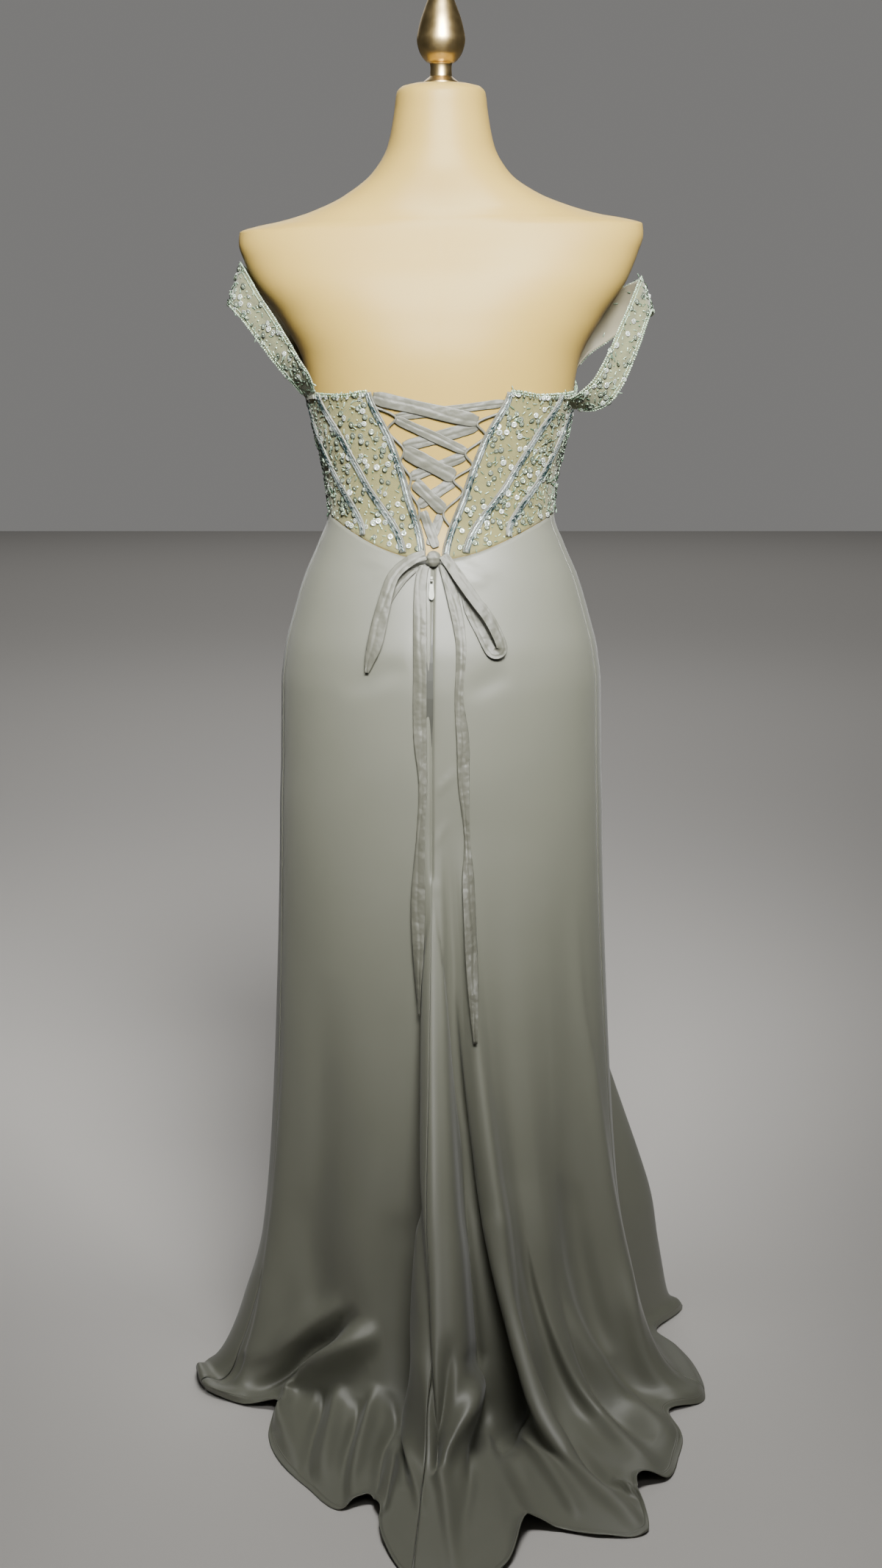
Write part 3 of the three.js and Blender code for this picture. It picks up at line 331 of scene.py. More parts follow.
def ribbonMesh(name, centre, across, out, width, thick, bow, fold=0.5):
    # a strip carried along its path: each section is an arc that bulges out by "bow" of its width
    side = np.linspace(-0.5, 0.5, stripSpec["columns"])
    bulge = (0.25 - side ** 2) * 4
    grid = centre[:, None] + across[:, None] * (side[None, :, None] * width[:, None, None])
    grid = grid + out[:, None] * (bulge[None, :, None] * (bow * width)[:, None, None])
    run = runLength(centre)[:, None]
    beside = side - stripSpec["sway"] * np.sin(run * 0.021 + len(name)) - stripSpec["quiver"] * np.sin(run * 0.09)
    ridge = stripSpec["ridge"] * np.exp(-((beside - stripSpec["ridgeAt"]) / stripSpec["ridgeWide"]) ** 2)
    wrinkle = stripSpec["wrinkle"] * np.sin(run * 0.33 + side * 5) * np.sin(run * 0.047 + 1) ** 2
    crease = ridge + wrinkle - np.exp(-np.abs(beside) / stripSpec["pleat"])
    grid = grid + out[:, None] * (fold * crease)[..., None]
    obj = addMesh(name, grid, gridFaces(*grid.shape[:2]), ribbonSatin, uv=clothUv(grid))
    thicken(obj, thick)
    return obj, grid


print("surfaces ready")


# Materials
def newMaterial(name, colour, rough, **sockets):
    material = bpy.data.materials.new(name)
    material.use_nodes = True
    nodes, links = material.node_tree.nodes, material.node_tree.links
    shader = nodes["Principled BSDF"]
    shader.inputs["Base Color"].default_value = (*colour, 1)
    shader.inputs["Roughness"].default_value = rough
    for key, value in sockets.items():
        shader.inputs[key.replace("_", " ")].default_value = value
    return material, nodes, links, shader


def addNode(nodes, kind, **settings):  # a socket of that name takes the value, or else the node does
    node = nodes.new(kind)
    for key, value in settings.items():
        if key in node.inputs:
            node.inputs[key].default_value = value
        else:
            setattr(node, key, value)
    return node


def mixColour(nodes, links, factor, low, high, target):  # low where the factor is 0, high where it is 1
    ramp = addNode(nodes, "ShaderNodeMix", data_type="RGBA")
    ramp.inputs[6].default_value = (*low, 1)
    ramp.inputs[7].default_value = (*high, 1)
    links.new(factor, ramp.inputs[0])
    links.new(ramp.outputs[2], target)
    return ramp


def mapRange(nodes, links, value, **limits):  # limits are named as the node's sockets are, with _ for a space
    span = addNode(nodes, "ShaderNodeMapRange", **{key.replace("_", " "): limit for key, limit in limits.items()})
    links.new(value, span.inputs["Value"])
    return span.outputs[0]


def addNoise(nodes, links, place, scale, detail, rough=0.5):  # cloudy values over a place
    noise = addNode(nodes, "ShaderNodeTexNoise", Scale=scale, Detail=detail, Roughness=rough)
    links.new(place, noise.inputs["Vector"])
    return noise.outputs["Fac"]


def addBands(nodes, links, place, size, turn, direction, distortion=0.0):  # even bands over a scaled, turned place
    mapping = addNode(nodes, "ShaderNodeMapping")
    mapping.inputs["Rotation"].default_value = (0, 0, turn * degree)
    mapping.inputs["Scale"].default_value = (size,) * 3
    links.new(place, mapping.inputs["Vector"])
    bands = addNode(nodes, "ShaderNodeTexWave", wave_type="BANDS", bands_direction=direction, Scale=1.0,
                    Distortion=distortion)
    links.new(mapping.outputs[0], bands.inputs["Vector"])
    return bands.outputs["Fac"]


def addBump(nodes, links, shader, height, strength, distance, chain=None):
    # the height moves the normal, on top of an earlier bump where a chain is given
    bump = addNode(nodes, "ShaderNodeBump", Strength=strength, Distance=distance)
    links.new(height, bump.inputs["Height"])
    if chain is not None:
        links.new(chain, bump.inputs["Normal"])
    links.new(bump.outputs[0], shader.inputs["Normal"])
    return bump.outputs[0]


def satinMaterial(name, spec):  # slubs vary colour and gloss over a slow ripple and fine ribs
    material, nodes, links, shader = newMaterial(name, spec["colour"], spec["rough"], Sheen_Weight=spec["sheen"],
                                                 Sheen_Roughness=0.4, Specular_IOR_Level=spec["specular"],
                                                 Anisotropic=spec["anisotropic"])
    place = addNode(nodes, "ShaderNodeTexCoord").outputs["Object"]
    uv = addNode(nodes, "ShaderNodeUVMap", uv_map="cloth").outputs[0]
    slub = addNoise(nodes, links, place, spec["slub"], 4.0, 0.6)
    mixColour(nodes, links, slub, spec["shade"], spec["colour"], shader.inputs["Base Color"])
    rough = mapRange(nodes, links, slub, To_Min=spec["rough"] - 0.05, To_Max=spec["rough"] + 0.06)
    links.new(rough, shader.inputs["Roughness"])
    ripple = addNoise(nodes, links, place, spec["rippleScale"], 2.0)
    first = addBump(nodes, links, shader, ripple, spec["ripple"], 0.01)
    ribs = addBands(nodes, links, uv, spec["threads"], 0, "DIAGONAL", 0.6)
    second = addBump(nodes, links, shader, ribs, spec["weave"], 0.0003, first)
    if spec.get("hem"):
        edge = addNode(nodes, "ShaderNodeAttribute", attribute_name="hem")
        curve = addNode(nodes, "ShaderNodeValToRGB")
        stops = curve.color_ramp
        stops.elements[0].position, stops.elements[0].color = 0.0, (1, 1, 1, 1)
        stops.elements[1].position, stops.elements[1].color = 1.0, (0, 0, 0, 1)
        for at, level in ((0.42, 1.0), (0.48, 0.15), (0.54, 0.6), (0.6, 0.0)):  # stitch line inside the turned hem
            stops.elements.new(at).color = (level, level, level, 1)
        links.new(edge.outputs["Fac"], curve.inputs["Fac"])
        addBump(nodes, links, shader, curve.outputs["Color"], 0.6, 0.0012, second)
    return material


satinSpec = {"colour": (0.138, 0.14, 0.108), "shade": (0.125, 0.128, 0.097), "rough": 0.47, "sheen": 0.1,
             "specular": 0.7, "anisotropic": 0.3, "slub": 9.0, "rippleScale": 7.0, "ripple": 0.1,
             "threads": 900.0, "weave": 0.15, "hem": True}
ribbonSpec = dict(satinSpec, colour=(0.11, 0.11, 0.083), shade=(0.094, 0.095, 0.072), ripple=0.3, rippleScale=60.0,
                  slub=80.0, threads=1400.0, weave=0.2, hem=False)
coverSpec = dict(satinSpec, colour=(0.365, 0.25, 0.062), shade=(0.32, 0.218, 0.05), rough=0.42, sheen=0.02,
                 specular=0.22, ripple=0.05, rippleScale=12.0, threads=1500.0, weave=0.12, anisotropic=0.2, hem=False)
liningSpec = dict(satinSpec, colour=(0.33, 0.3, 0.2), shade=(0.29, 0.265, 0.175), rough=0.55, ripple=0.15,
                  rippleScale=40.0, hem=False)
satin = satinMaterial("satin", satinSpec)
ribbonSatin = satinMaterial("ribbon satin", ribbonSpec)
coverJersey = satinMaterial("form jersey", coverSpec)
liningCloth = satinMaterial("strap lining", liningSpec)
# the zip tape's near-black colour is painted shade of the gap in the seam, not the tape's own colour
zipGapPaintedShade = satinMaterial("zip tape painted shade", dict(satinSpec, colour=(0.05, 0.051, 0.04), shade=(0.04, 0.041, 0.032),
                                          hem=False))


def netMaterial(name, spec):  # threads of a fine diamond net: where either slanted band is high, the thread shows
    material, nodes, links, shader = newMaterial(name, spec["colour"], 0.7, Sheen_Weight=0.3, Specular_IOR_Level=0.3)
    uv = addNode(nodes, "ShaderNodeUVMap", uv_map="cloth").outputs[0]
    most = addNode(nodes, "ShaderNodeMath", operation="MAXIMUM")
    for k, turn in enumerate((52, -52)):
        links.new(addBands(nodes, links, uv, spec["mesh"], turn, "X"), most.inputs[k])
    cover = mapRange(nodes, links, most.outputs[0], From_Min=spec["thread"], To_Min=spec["open"])
    links.new(cover, shader.inputs["Alpha"])
    cloud = addNoise(nodes, links, uv, 60.0, 3.0)
    mixColour(nodes, links, cloud, spec["shade"], spec["colour"], shader.inputs["Base Color"])
    addBump(nodes, links, shader, most.outputs[0], 0.4, 0.0004)
    return material


tulleNet = netMaterial("bodice net", {"colour": (0.25, 0.245, 0.11), "shade": (0.2, 0.2, 0.085), "mesh": 240.0,
                                      "open": 0.14, "thread": 0.72})
bandNet = netMaterial("strap net", {"colour": (0.2, 0.205, 0.105), "shade": (0.155, 0.165, 0.085), "mesh": 240.0,
                                    "open": 0.6, "thread": 0.5})


def metalMaterial(name, colour, worn, rough, grain, stretch=(1, 1, 1), metallic=1.0):
    # stretched noise blends the worn colour with the clean one and varies the gloss
    material, nodes, links, shader = newMaterial(name, colour, rough, Metallic=metallic)
    place = addNode(nodes, "ShaderNodeMapping")
    place.inputs["Scale"].default_value = stretch
    links.new(addNode(nodes, "ShaderNodeTexCoord").outputs["Object"], place.inputs["Vector"])
    noise = addNoise(nodes, links, place.outputs[0], grain, 5.0, 0.65)
    mixColour(nodes, links, noise, worn, colour, shader.inputs["Base Color"])
    links.new(mapRange(nodes, links, noise, To_Min=rough - 0.08, To_Max=rough + 0.12), shader.inputs["Roughness"])
    addBump(nodes, links, shader, noise, 0.08, 0.001)
    return material


gilt = metalMaterial("gilt finial", (0.72, 0.55, 0.27), (0.55, 0.4, 0.18), 0.3, 60.0)
standSteel = metalMaterial("stand steel", (0.32, 0.32, 0.31), (0.24, 0.24, 0.23), 0.38, 40.0, (1, 1, 6))
zipPaint = metalMaterial("zip paint", (0.13, 0.135, 0.11), (0.09, 0.092, 0.075), 0.34, 400.0, metallic=0.35)


def beadMaterial(name, low, high, rough, metallic, coat=0.0, centre=None):
    # each bead's own tint blends low with high
    material, nodes, links, shader = newMaterial(name, high, rough, Metallic=metallic, Coat_Weight=coat,
                                                 Coat_Roughness=0.08)
    tint = addNode(nodes, "ShaderNodeAttribute", attribute_name="tint")
    shades = mixColour(nodes, links, tint.outputs["Fac"], low, high, shader.inputs["Base Color"])
    if centre:  # a clear sequin is dark only at its rim
        rim = addNode(nodes, "ShaderNodeAttribute", attribute_name="rim")
        nearRim = mapRange(nodes, links, rim.outputs["Fac"], From_Min=0.5, From_Max=0.95)
        mixColour(nodes, links, nearRim, centre, low, shades.inputs[6])
    speckle = addNoise(nodes, links, addNode(nodes, "ShaderNodeTexCoord").outputs["Object"], 900.0, 2.0)
    addBump(nodes, links, shader, speckle, 0.1, 0.0003)
    return material


sequinFoil = beadMaterial("sequin foil", (0.03, 0.06, 0.05), (0.8, 0.84, 0.78), 0.2, 0.5, centre=(0.3, 0.33, 0.22))
plaitSilver = beadMaterial("plait silver", (0.02, 0.05, 0.052), (0.5, 0.56, 0.53), 0.2, 0.6, coat=0.2)
bugleGlass = beadMaterial("bugle glass", (0.08, 0.14, 0.09), (0.38, 0.5, 0.36), 0.18, 0.3, coat=0.4)
seedGlass = beadMaterial("seed glass", (0.1, 0.17, 0.1), (0.42, 0.53, 0.38), 0.15, 0.1, coat=0.5)
print("materials ready")


# Dress form
def addForm():
    spec = {"around": 168, "rise": 0.022, "lowShoulder": 1186, "highShoulder": 1262, "neckStart": 1300, "neckEnd": 1345}
    levels = np.concatenate([np.linspace(690, 1240, 120)[:-1], np.linspace(1240, 1316, 60)[:-1],
                             np.linspace(1316, 1431, 44)])
    azimuth = np.arange(spec["around"]) * 360 / spec["around"]
    grid = polar(azimuth[None], levels[:, None], figureRadius(azimuth[None], levels[:, None]))
    shoulder = softStep(spec["lowShoulder"], spec["highShoulder"], grid[..., 2])
    shoulder = shoulder * (1 - softStep(spec["neckStart"], spec["neckEnd"], grid[..., 2]))
    grid[..., 2] += spec["rise"] * grid[..., 0] * shoulder  # the wearer's right shoulder sits a little higher
    rings, around = grid.shape[:2]
    points = np.vstack([grid.reshape(-1, 3), grid[0].mean(0), grid[-1].mean(0)])
    last = (rings - 1) * around
    foot = [[(k + 1) % around, k, len(points) - 2] for k in range(around)]
    head = [[last + k, last + (k + 1) % around, len(points) - 1] for k in range(around)]
    girth = 0.9  # metres of jersey round the form, for its weave
    uv = np.stack(np.broadcast_arrays(azimuth[None] / 360 * girth, levels[:, None] / 1000), -1).reshape(-1, 2)
    uv = np.vstack([uv, [girth / 2, levels[0] / 1000], [girth / 2, levels[-1] / 1000]])
    faces = list(gridFaces(rings, around, True)) + foot + head
    torso = addMesh("formCover", points, faces, coverJersey, uv=uv)
    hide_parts("form_torso")


def turned(name, node, profile, height, material, slot, around=64, rows=90):
    # a profile of radius over height, rounded by the spline where that stays near it, turned round z and closed
    profile = np.asarray(profile, float)
    steps = np.arange(len(profile), dtype=float)
    at = np.linspace(0, len(profile) - 1, rows)
    ring = np.stack([np.interp(at, steps, profile[:, 0]), np.interp(at, steps, profile[:, 1])], -1)
    soft = splineRows(profile, at)
    near = 2.5
    ring = np.where(np.abs(soft - ring).max(-1, keepdims=True) < near, soft, ring)
    angle = np.arange(around) * 360 / around
    grid = polar(angle[None], height + ring[:, 1][:, None], np.maximum(ring[:, 0], 0.05)[:, None])
    obj = addMesh(name, grid, closedFaces(rows, around), material)
    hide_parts(node)


finialProfile = [(19, 0), (18.5, 2), (13.5, 6), (11.6, 9), (11.6, 20), (16, 23), (22, 31), (25.3, 42), (25, 51),
                 (21.5, 66), (16.5, 80), (12.4, 91), (8.6, 104), (5.2, 116), (2.6, 123)]
addForm()
turned("finial", "form_finial", finialProfile, 1431.3, gilt, "gilt_metal", rows=112)
turned("pole", "form_pole", [(15.6, 0), (16, 0.6), (16, 2), (16, 662), (16, 663.8), (15.6, 664.4)], 25.3, standSteel,
       "dark_metal", rows=40)
turned("standBase", "form_base", [(137, 0), (140, 3), (140, 9), (137, 12), (32, 17), (26, 25)], 0, standSteel,
       "dark_metal", around=96, rows=60)
print("form ready")

# Bodice net
panelSpec = {"columns": 44, "rows": 56, "thick": 0.5, "pucker": 0.35}


def panelGrid(low, high, columns, rows):  # u between two seams, v from the top edge to just above the waist
    u, v = np.linspace(0, 1, columns)[None, :], np.linspace(0, 1, rows)[:, None]
    azimuth = low(v) + (high(v) - low(v)) * u
    foot = waistZ(azimuth) + 0.6
    grid = bodicePoint(azimuth, topZ(azimuth) + (foot - topZ(azimuth)) * v, 0)
    return grid, u, v


def addPanel(name, low, high):
    # the grid between its seams, moved along its normal by puckers
    grid, u, v = panelGrid(low, high, panelSpec["columns"], panelSpec["rows"])
    normal = outwardNormals(grid, grid * [1, 1, 0])
    wave = np.sin(v * 41 + 3 * u) * (np.exp(-u * 14) + np.exp(-(1 - u) * 14))  # small puckers beside each seam
    grid = grid + normal * (panelSpec["pucker"] * wave)[..., None]
    obj = addMesh(name.replace("bodice", "net"), grid, gridFaces(*grid.shape[:2]), tulleNet, uv=clothUv(grid))
    thicken(obj, panelSpec["thick"])
    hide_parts(name)
    return obj, grid


netPanels = {}
for word, side in (("left", -1), ("right", 1)):
    for piece, first, second in (("bodice_back", "lace", "middle"), ("bodice_side_back", "middle", "outer"),
                                 ("bodice_side", "outer", "side"), ("bodice_cup", "side", "princess")):
        pair = (first, second) if side > 0 else (second, first)
        edges = [lambda v, n=n, s=side: seamAzimuth(n, s, v) for n in pair]
        netPanels[piece + "_" + word] = addPanel(piece + "_" + word, *edges)
netPanels["bodice_front"] = addPanel("bodice_front", lambda v: seamAzimuth("princess", 1, v),
                                     lambda v: 360 + seamAzimuth("princess", -1, v))
print("bodice ready")

# Beads, each as points and faces: a cupped sequin with a hole, a six-sided bugle, and a round seed bead
def ringPoints(rings, around):  # points of rings round z, each a radius and a height
    angle = np.arange(around) * 360 / around * degree
    return np.concatenate([np.stack([r * np.cos(angle), r * np.sin(angle), 0 * angle + h], -1) for r, h in rings])


def sequinShape():  # rings from the hole out over the cup's rim and back underneath to the hole
    rings = [(0.28, 0.0), (0.62, 0.05), (1.0, 0.17), (0.98, 0.11), (0.6, -0.02), (0.28, -0.07)]
    around = 10
    here, after = np.arange(around), (np.arange(around) + 1) % around
    last = (len(rings) - 1) * around
    hole = np.stack([last + here, last + after, after, here], -1)
    return ringPoints(rings, around), np.vstack([gridFaces(len(rings), around, True), hole])


sequin = sequinShape()
bugleRings, bugleHalf = [(0.8, -0.5), (1.0, -0.46), (1.0, 0.46), (0.8, 0.5)], 0.14
bugle = (ringPoints([(r * bugleHalf, x) for r, x in bugleRings], 6)[:, [2, 0, 1]], closedFaces(4, 6))
seedRings = [(0.35, -0.42), (0.85, -0.25), (1.0, 0.0), (0.85, 0.25), (0.35, 0.42)]
seed = (ringPoints(seedRings, 8) * [0.5, 0.5, 0.7], closedFaces(5, 8))


def turnedFrames(normal, tilt):  # a random direction along the cloth, and the normal leaned by up to "tilt"
    count = len(normal)
    spin = unit(np.cross(normal, rng.normal(size=(count, 3))))
    lean = unit(normal + tilt * rng.uniform(-1, 1, (count, 1)) * spin + tilt * 0.5 * rng.normal(size=(count, 3)))
    return unit(np.cross(spin, lean)), lean


def clothSpots(grid, gap, jitter):  # a staggered lattice over a cloth grid, each spot moved at random
    uv = clothUv(grid) * 1000
    spots = []
    tall = -uv[-1, 0, 1]
    for k, down in enumerate(np.arange(gap * 0.55, tall - gap * 0.3, gap * 0.9)):
        row = down / tall * (len(grid) - 1)
        wide = np.interp(row, np.arange(len(grid)), 2 * uv[:, -1, 0])
        count = max(1, int(wide / gap))
        across = (np.arange(count) + 0.25 + 0.5 * (k % 2)) / count * (grid.shape[1] - 1)
        spots.append(np.stack([np.full(count, row), across], -1))
    spots = np.concatenate(spots)
    step = np.array([(len(grid) - 1) / tall, (grid.shape[1] - 1) / (2 * uv[:, -1, 0].mean())])
    spots = spots + rng.uniform(-jitter, jitter, spots.shape) * step
    return np.clip(spots, 0.4, np.array(grid.shape[:2]) - 1.4)


def sampleGrid(grid, spots):  # bilinear value of a grid at fractional rows and columns
    i, j = np.floor(spots).astype(int).T
    s, t = (spots - np.floor(spots)).T
    s, t = s[:, None], t[:, None]
    low = grid[i, j] * (1 - t) + grid[i, j + 1] * t
    high = grid[i + 1, j] * (1 - t) + grid[i + 1, j + 1] * t
    return low * (1 - s) + high * s


beadSpec = {"gap": 8.8, "jitter": 2.2, "sequinShare": 0.48, "seedShare": 0.3, "sequin": (2.8, 3.5),
            "seed": (1.8, 2.5), "heart": 0.62, "bugle": (4.0, 5.4), "darkShare": 0.68, "tailShare": 0.6}


def sequinTints(count, darkShare):  # most are clear with a dark rim, the rest flash silver
    dark = rng.uniform(size=count) < darkShare
    return np.where(dark, rng.uniform(0, 0.15, count), rng.uniform(0.7, 1, count))


def sprinkle(name, grid, spec, outward):
    # spots of a lattice are dealt by share to sequins, loose seeds and bugles, each standing on the cloth's normal
    normal = outwardNormals(grid, outward(grid))
    spots = clothSpots(grid, spec["gap"], spec["jitter"])
    place, out = sampleGrid(grid, spots), unit(sampleGrid(normal, spots))
    pick = rng.uniform(size=len(spots))
    first = pick < spec["sequinShare"]
    second = ~first & (pick < spec["sequinShare"] + spec["seedShare"])
    third = ~first & ~second
    count = int(first.sum())
    along, lean = turnedFrames(out[first], 0.3)
    size = rng.uniform(*spec["sequin"], count)
    centre = place[first] + out[first]
    sequins = scatter(name + "Sequins", sequin, centre, along, lean, size, sequinFoil,
                      sequinTints(count, spec["darkShare"]), rim=True)
    # a seed bead holds each sequin at its hole, and a short bugle lies beside most of them
    hearts = scatter(name + "Hearts", seed, centre + lean * 0.7, along, lean, size * spec["heart"], seedGlass,
                     rng.uniform(0, 1, count))
    tail = rng.uniform(size=count) < spec["tailShare"]
    length = rng.uniform(*spec["bugle"], count)
    beside = centre + along * (size + length * 0.5)[:, None]
    spots = np.concatenate([beside[tail], place[third] + out[third] * 0.9])
    ways, faces = turnedFrames(out[third], 0.08)
    ways, faces = np.concatenate([along[tail], ways]), np.concatenate([out[first][tail], faces])
    lengths = np.concatenate([length[tail], rng.uniform(*spec["bugle"], int(third.sum()))])
    bugles = scatter(name + "Bugles", bugle, spots, ways, faces, lengths, bugleGlass,
                     rng.uniform(0, 1, len(spots)))
    along, lean = turnedFrames(out[second], 0.2)
    count = int(second.sum())
    seeds = scatter(name + "Seeds", seed, place[second] + out[second], along, lean,
                    rng.uniform(*spec["seed"], count), seedGlass, rng.uniform(0, 1, count))
    return [sequins, hearts, bugles, seeds]


def addTopTrim(name, grid, gap):  # seed beads and leaning sequins sewn close along the top edge
    line, out = grid[0], radial(grid)[0]
    length = runLength(line)
    made = []
    for word, spacing, drop, shape, size, material, tilt in (
            ("Seeds", gap, 0.8, seed, (2.2, 3.0), seedGlass, 0.4),
            ("LowSeeds", gap * 1.3, 3.4, seed, (1.9, 2.6), seedGlass, 0.4),
            ("Sequins", gap * 2.2, 4.6, sequin, (2.4, 3.0), sequinFoil, 0.5)):
        at = np.arange(spacing / 2, length[-1], spacing)
        at = at + rng.uniform(-0.2, 0.2, len(at)) * spacing
        centre, face = valuesAt(at, length, line) - [0, 0, drop], unit(valuesAt(at, length, out))
        along, lean = turnedFrames(face, tilt)
        tints = sequinTints(len(at), 0.5) if shape is sequin else rng.uniform(0, 1, len(at))
        made.append(scatter(name + "Top" + word, shape, centre + face * 1.2, along, lean,
                            rng.uniform(*size, len(at)), material, tints, rim=shape is sequin))
    return made


topGap, closeGap = 2.7, 7.8
for panelName, (panel, grid) in netPanels.items():
    crowd = dict(beadSpec, gap=closeGap) if "side" in panelName or "cup" in panelName else beadSpec
    word = "net" + panelName[6:].title().replace("_", "")
    beads = sprinkle(word, grid, crowd, radial) + addTopTrim(word, grid, topGap)
print("beads ready")

# Bones: a low channel under two rows of slanted bugles plaited over it, with a satin piping along one side
boneSpec = {"half": 3.3, "rise": 1.4, "pipe": 0.75, "pipeAt": 4.3, "step": 1.75, "bead": (3.5, 4.1), "spread": 1.6,
            "lift": 2.15}


def addBone(name, side, word):
    # the profiles of channel and piping are carried down the seam, and bugles stand over them at even steps
    share = np.linspace(0.012, 0.985, 70)
    middle = seamPoint(name, side, share, 0)
    along, across, face = pathFrame(middle, radial(middle))
    hand = side * np.sign(across[0] @ [1, 0, 0])  # which way across leads to the lacing
    arc, small = np.linspace(0, 180, 9) * degree, np.linspace(0, 180, 7) * degree
    ring = [(np.cos(a) * boneSpec["half"], 0.6 + boneSpec["rise"] * np.sin(a)) for a in arc]
    ring += [(-boneSpec["half"], 0.4), (boneSpec["half"], 0.4)]
    pipe = [(-hand * boneSpec["pipeAt"] + np.cos(a) * boneSpec["pipe"], 0.5 + 1.5 * np.sin(a)) for a in small]
    pipe += [(pipe[-1][0], 0.3), (pipe[0][0], 0.3)]
    points, faces, uvs = [], [], []
    for profile in (np.array(ring), np.array(pipe)):
        grid = middle[:, None] + across[:, None] * profile[None, :, :1] + face[:, None] * profile[None, :, 1:]
        start, n = sum(map(len, points)), len(profile)
        faces += [[start + k for k in corners] for corners in closedFaces(len(share), n)]
        points.append(grid.reshape(-1, 3))
        uvs.append(np.stack(np.broadcast_arrays(np.arange(n)[None] * 0.001, share[:, None] * 0.17), -1).reshape(-1, 2))
    channel = addMesh("channel_" + name + "_" + word, np.concatenate(points), faces, ribbonSatin,
                      uv=np.concatenate(uvs))
    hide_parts("bone_" + name + "_" + word)
    length = runLength(middle)
    at = np.arange(1.6, length[-1] - 1, boneSpec["step"])
    centre, forward, sideways, up = (valuesAt(at, length, values) for values in (middle, along, across, face))
    forward, sideways, up = unit(forward), unit(sideways), unit(up)
    rows = []
    for way in (-1, 1):  # the two rows lean opposite ways, like a plait
        lean = unit(forward * 0.8 + sideways * 0.62 * way + rng.normal(0, 0.05, centre.shape))
        rows.append((centre + sideways * boneSpec["spread"] * way + up * boneSpec["lift"], lean,
                     unit(up + 0.15 * way * sideways)))
    centres, leans, ups = (np.concatenate(part) for part in zip(*rows))
    drift = np.sin(np.concatenate([at, at]) * 0.11 + side * 2 + len(name))  # runs of silver and of dark beads
    tint = np.clip(0.5 + 0.35 * drift + rng.uniform(-0.5, 0.5, len(centres)), 0, 1)
    scatter("plait_" + name + "_" + word, bugle, centres, leans, ups,
            rng.uniform(*boneSpec["bead"], len(centres)), plaitSilver, tint)


for word, side in (("left", -1), ("right", 1)):
    for name in ("lace", "middle", "outer", "princess"):
        addBone(name, side, word)
print("bones ready")

# Shoulder straps: both edges of each band run on a Catmull-Rom spline through its sections
leftStrap = [((-142, -18, 1099), (-131.5, -40.5, 1101)), ((-159, -33, 1119), (-138, -61, 1125)),
             ((-172, -37, 1134), (-150, -62, 1145)), ((-190, -32, 1157), (-168, -53, 1175)),
             ((-208, -20, 1180), (-190, -34, 1207)), ((-226, -2, 1199), (-212, -8, 1242)),
             ((-228, 26, 1199), (-211, 24, 1240)), ((-208, 50, 1190), (-192, 54, 1228)),
             ((-182, 62, 1170), (-161, 74, 1208)), ((-160, 61, 1150), (-131, 86, 1187)),
             ((-143, 47, 1126), (-111, 86, 1161))]
rightStrap = [((139.5, -26, 1091), (132, -41, 1100)), ((165, -35, 1090), (146, -60, 1108)),
              ((185, -38, 1104), (162, -61, 1124)), ((203, -31, 1138), (177, -52, 1151)),
              ((216, -18, 1171), (195, -35, 1190)), ((225, -2, 1194), (212, -8, 1227)),
              ((228, 26, 1190), (213, 24, 1227)), ((210, 50, 1180), (194, 54, 1218)),
              ((184, 62, 1163), (163, 74, 1201)), ((160, 61, 1146), (132, 86, 1183)),
              ((143, 47, 1124), (111, 86, 1159))]


def strapGrid(sections, rows, columns):  # straight lines between two splined edges, kept clear of the bodice
    edges = [splineRows(np.array([s[k] for s in sections], float), np.linspace(0, len(sections) - 1, rows))
             for k in (0, 1)]
    share = np.linspace(0, 1, columns)[None, :, None]
    grid = edges[0][:, None] * (1 - share) + edges[1][:, None] * share
    azimuth = np.arctan2(grid[..., 0], -grid[..., 1]) / degree
    clear = gown["bodiceEase"] + strapSpec["clear"] + bust["ease"] * bustShare(azimuth, grid[..., 2])
    least = figureRadius(azimuth, grid[..., 2]) + clear
    radius = np.hypot(grid[..., 0], grid[..., 1])
    return polar(azimuth, grid[..., 2], np.maximum(radius, least))


strapSpec = {"rows": 150, "columns": 20, "clear": 2.45, "ripple": 0.7, "thick": 1.1, "edgeGap": 2.6, "lineGap": 4.3,
             "gap": 7.0, "sequinShare": 0.4}


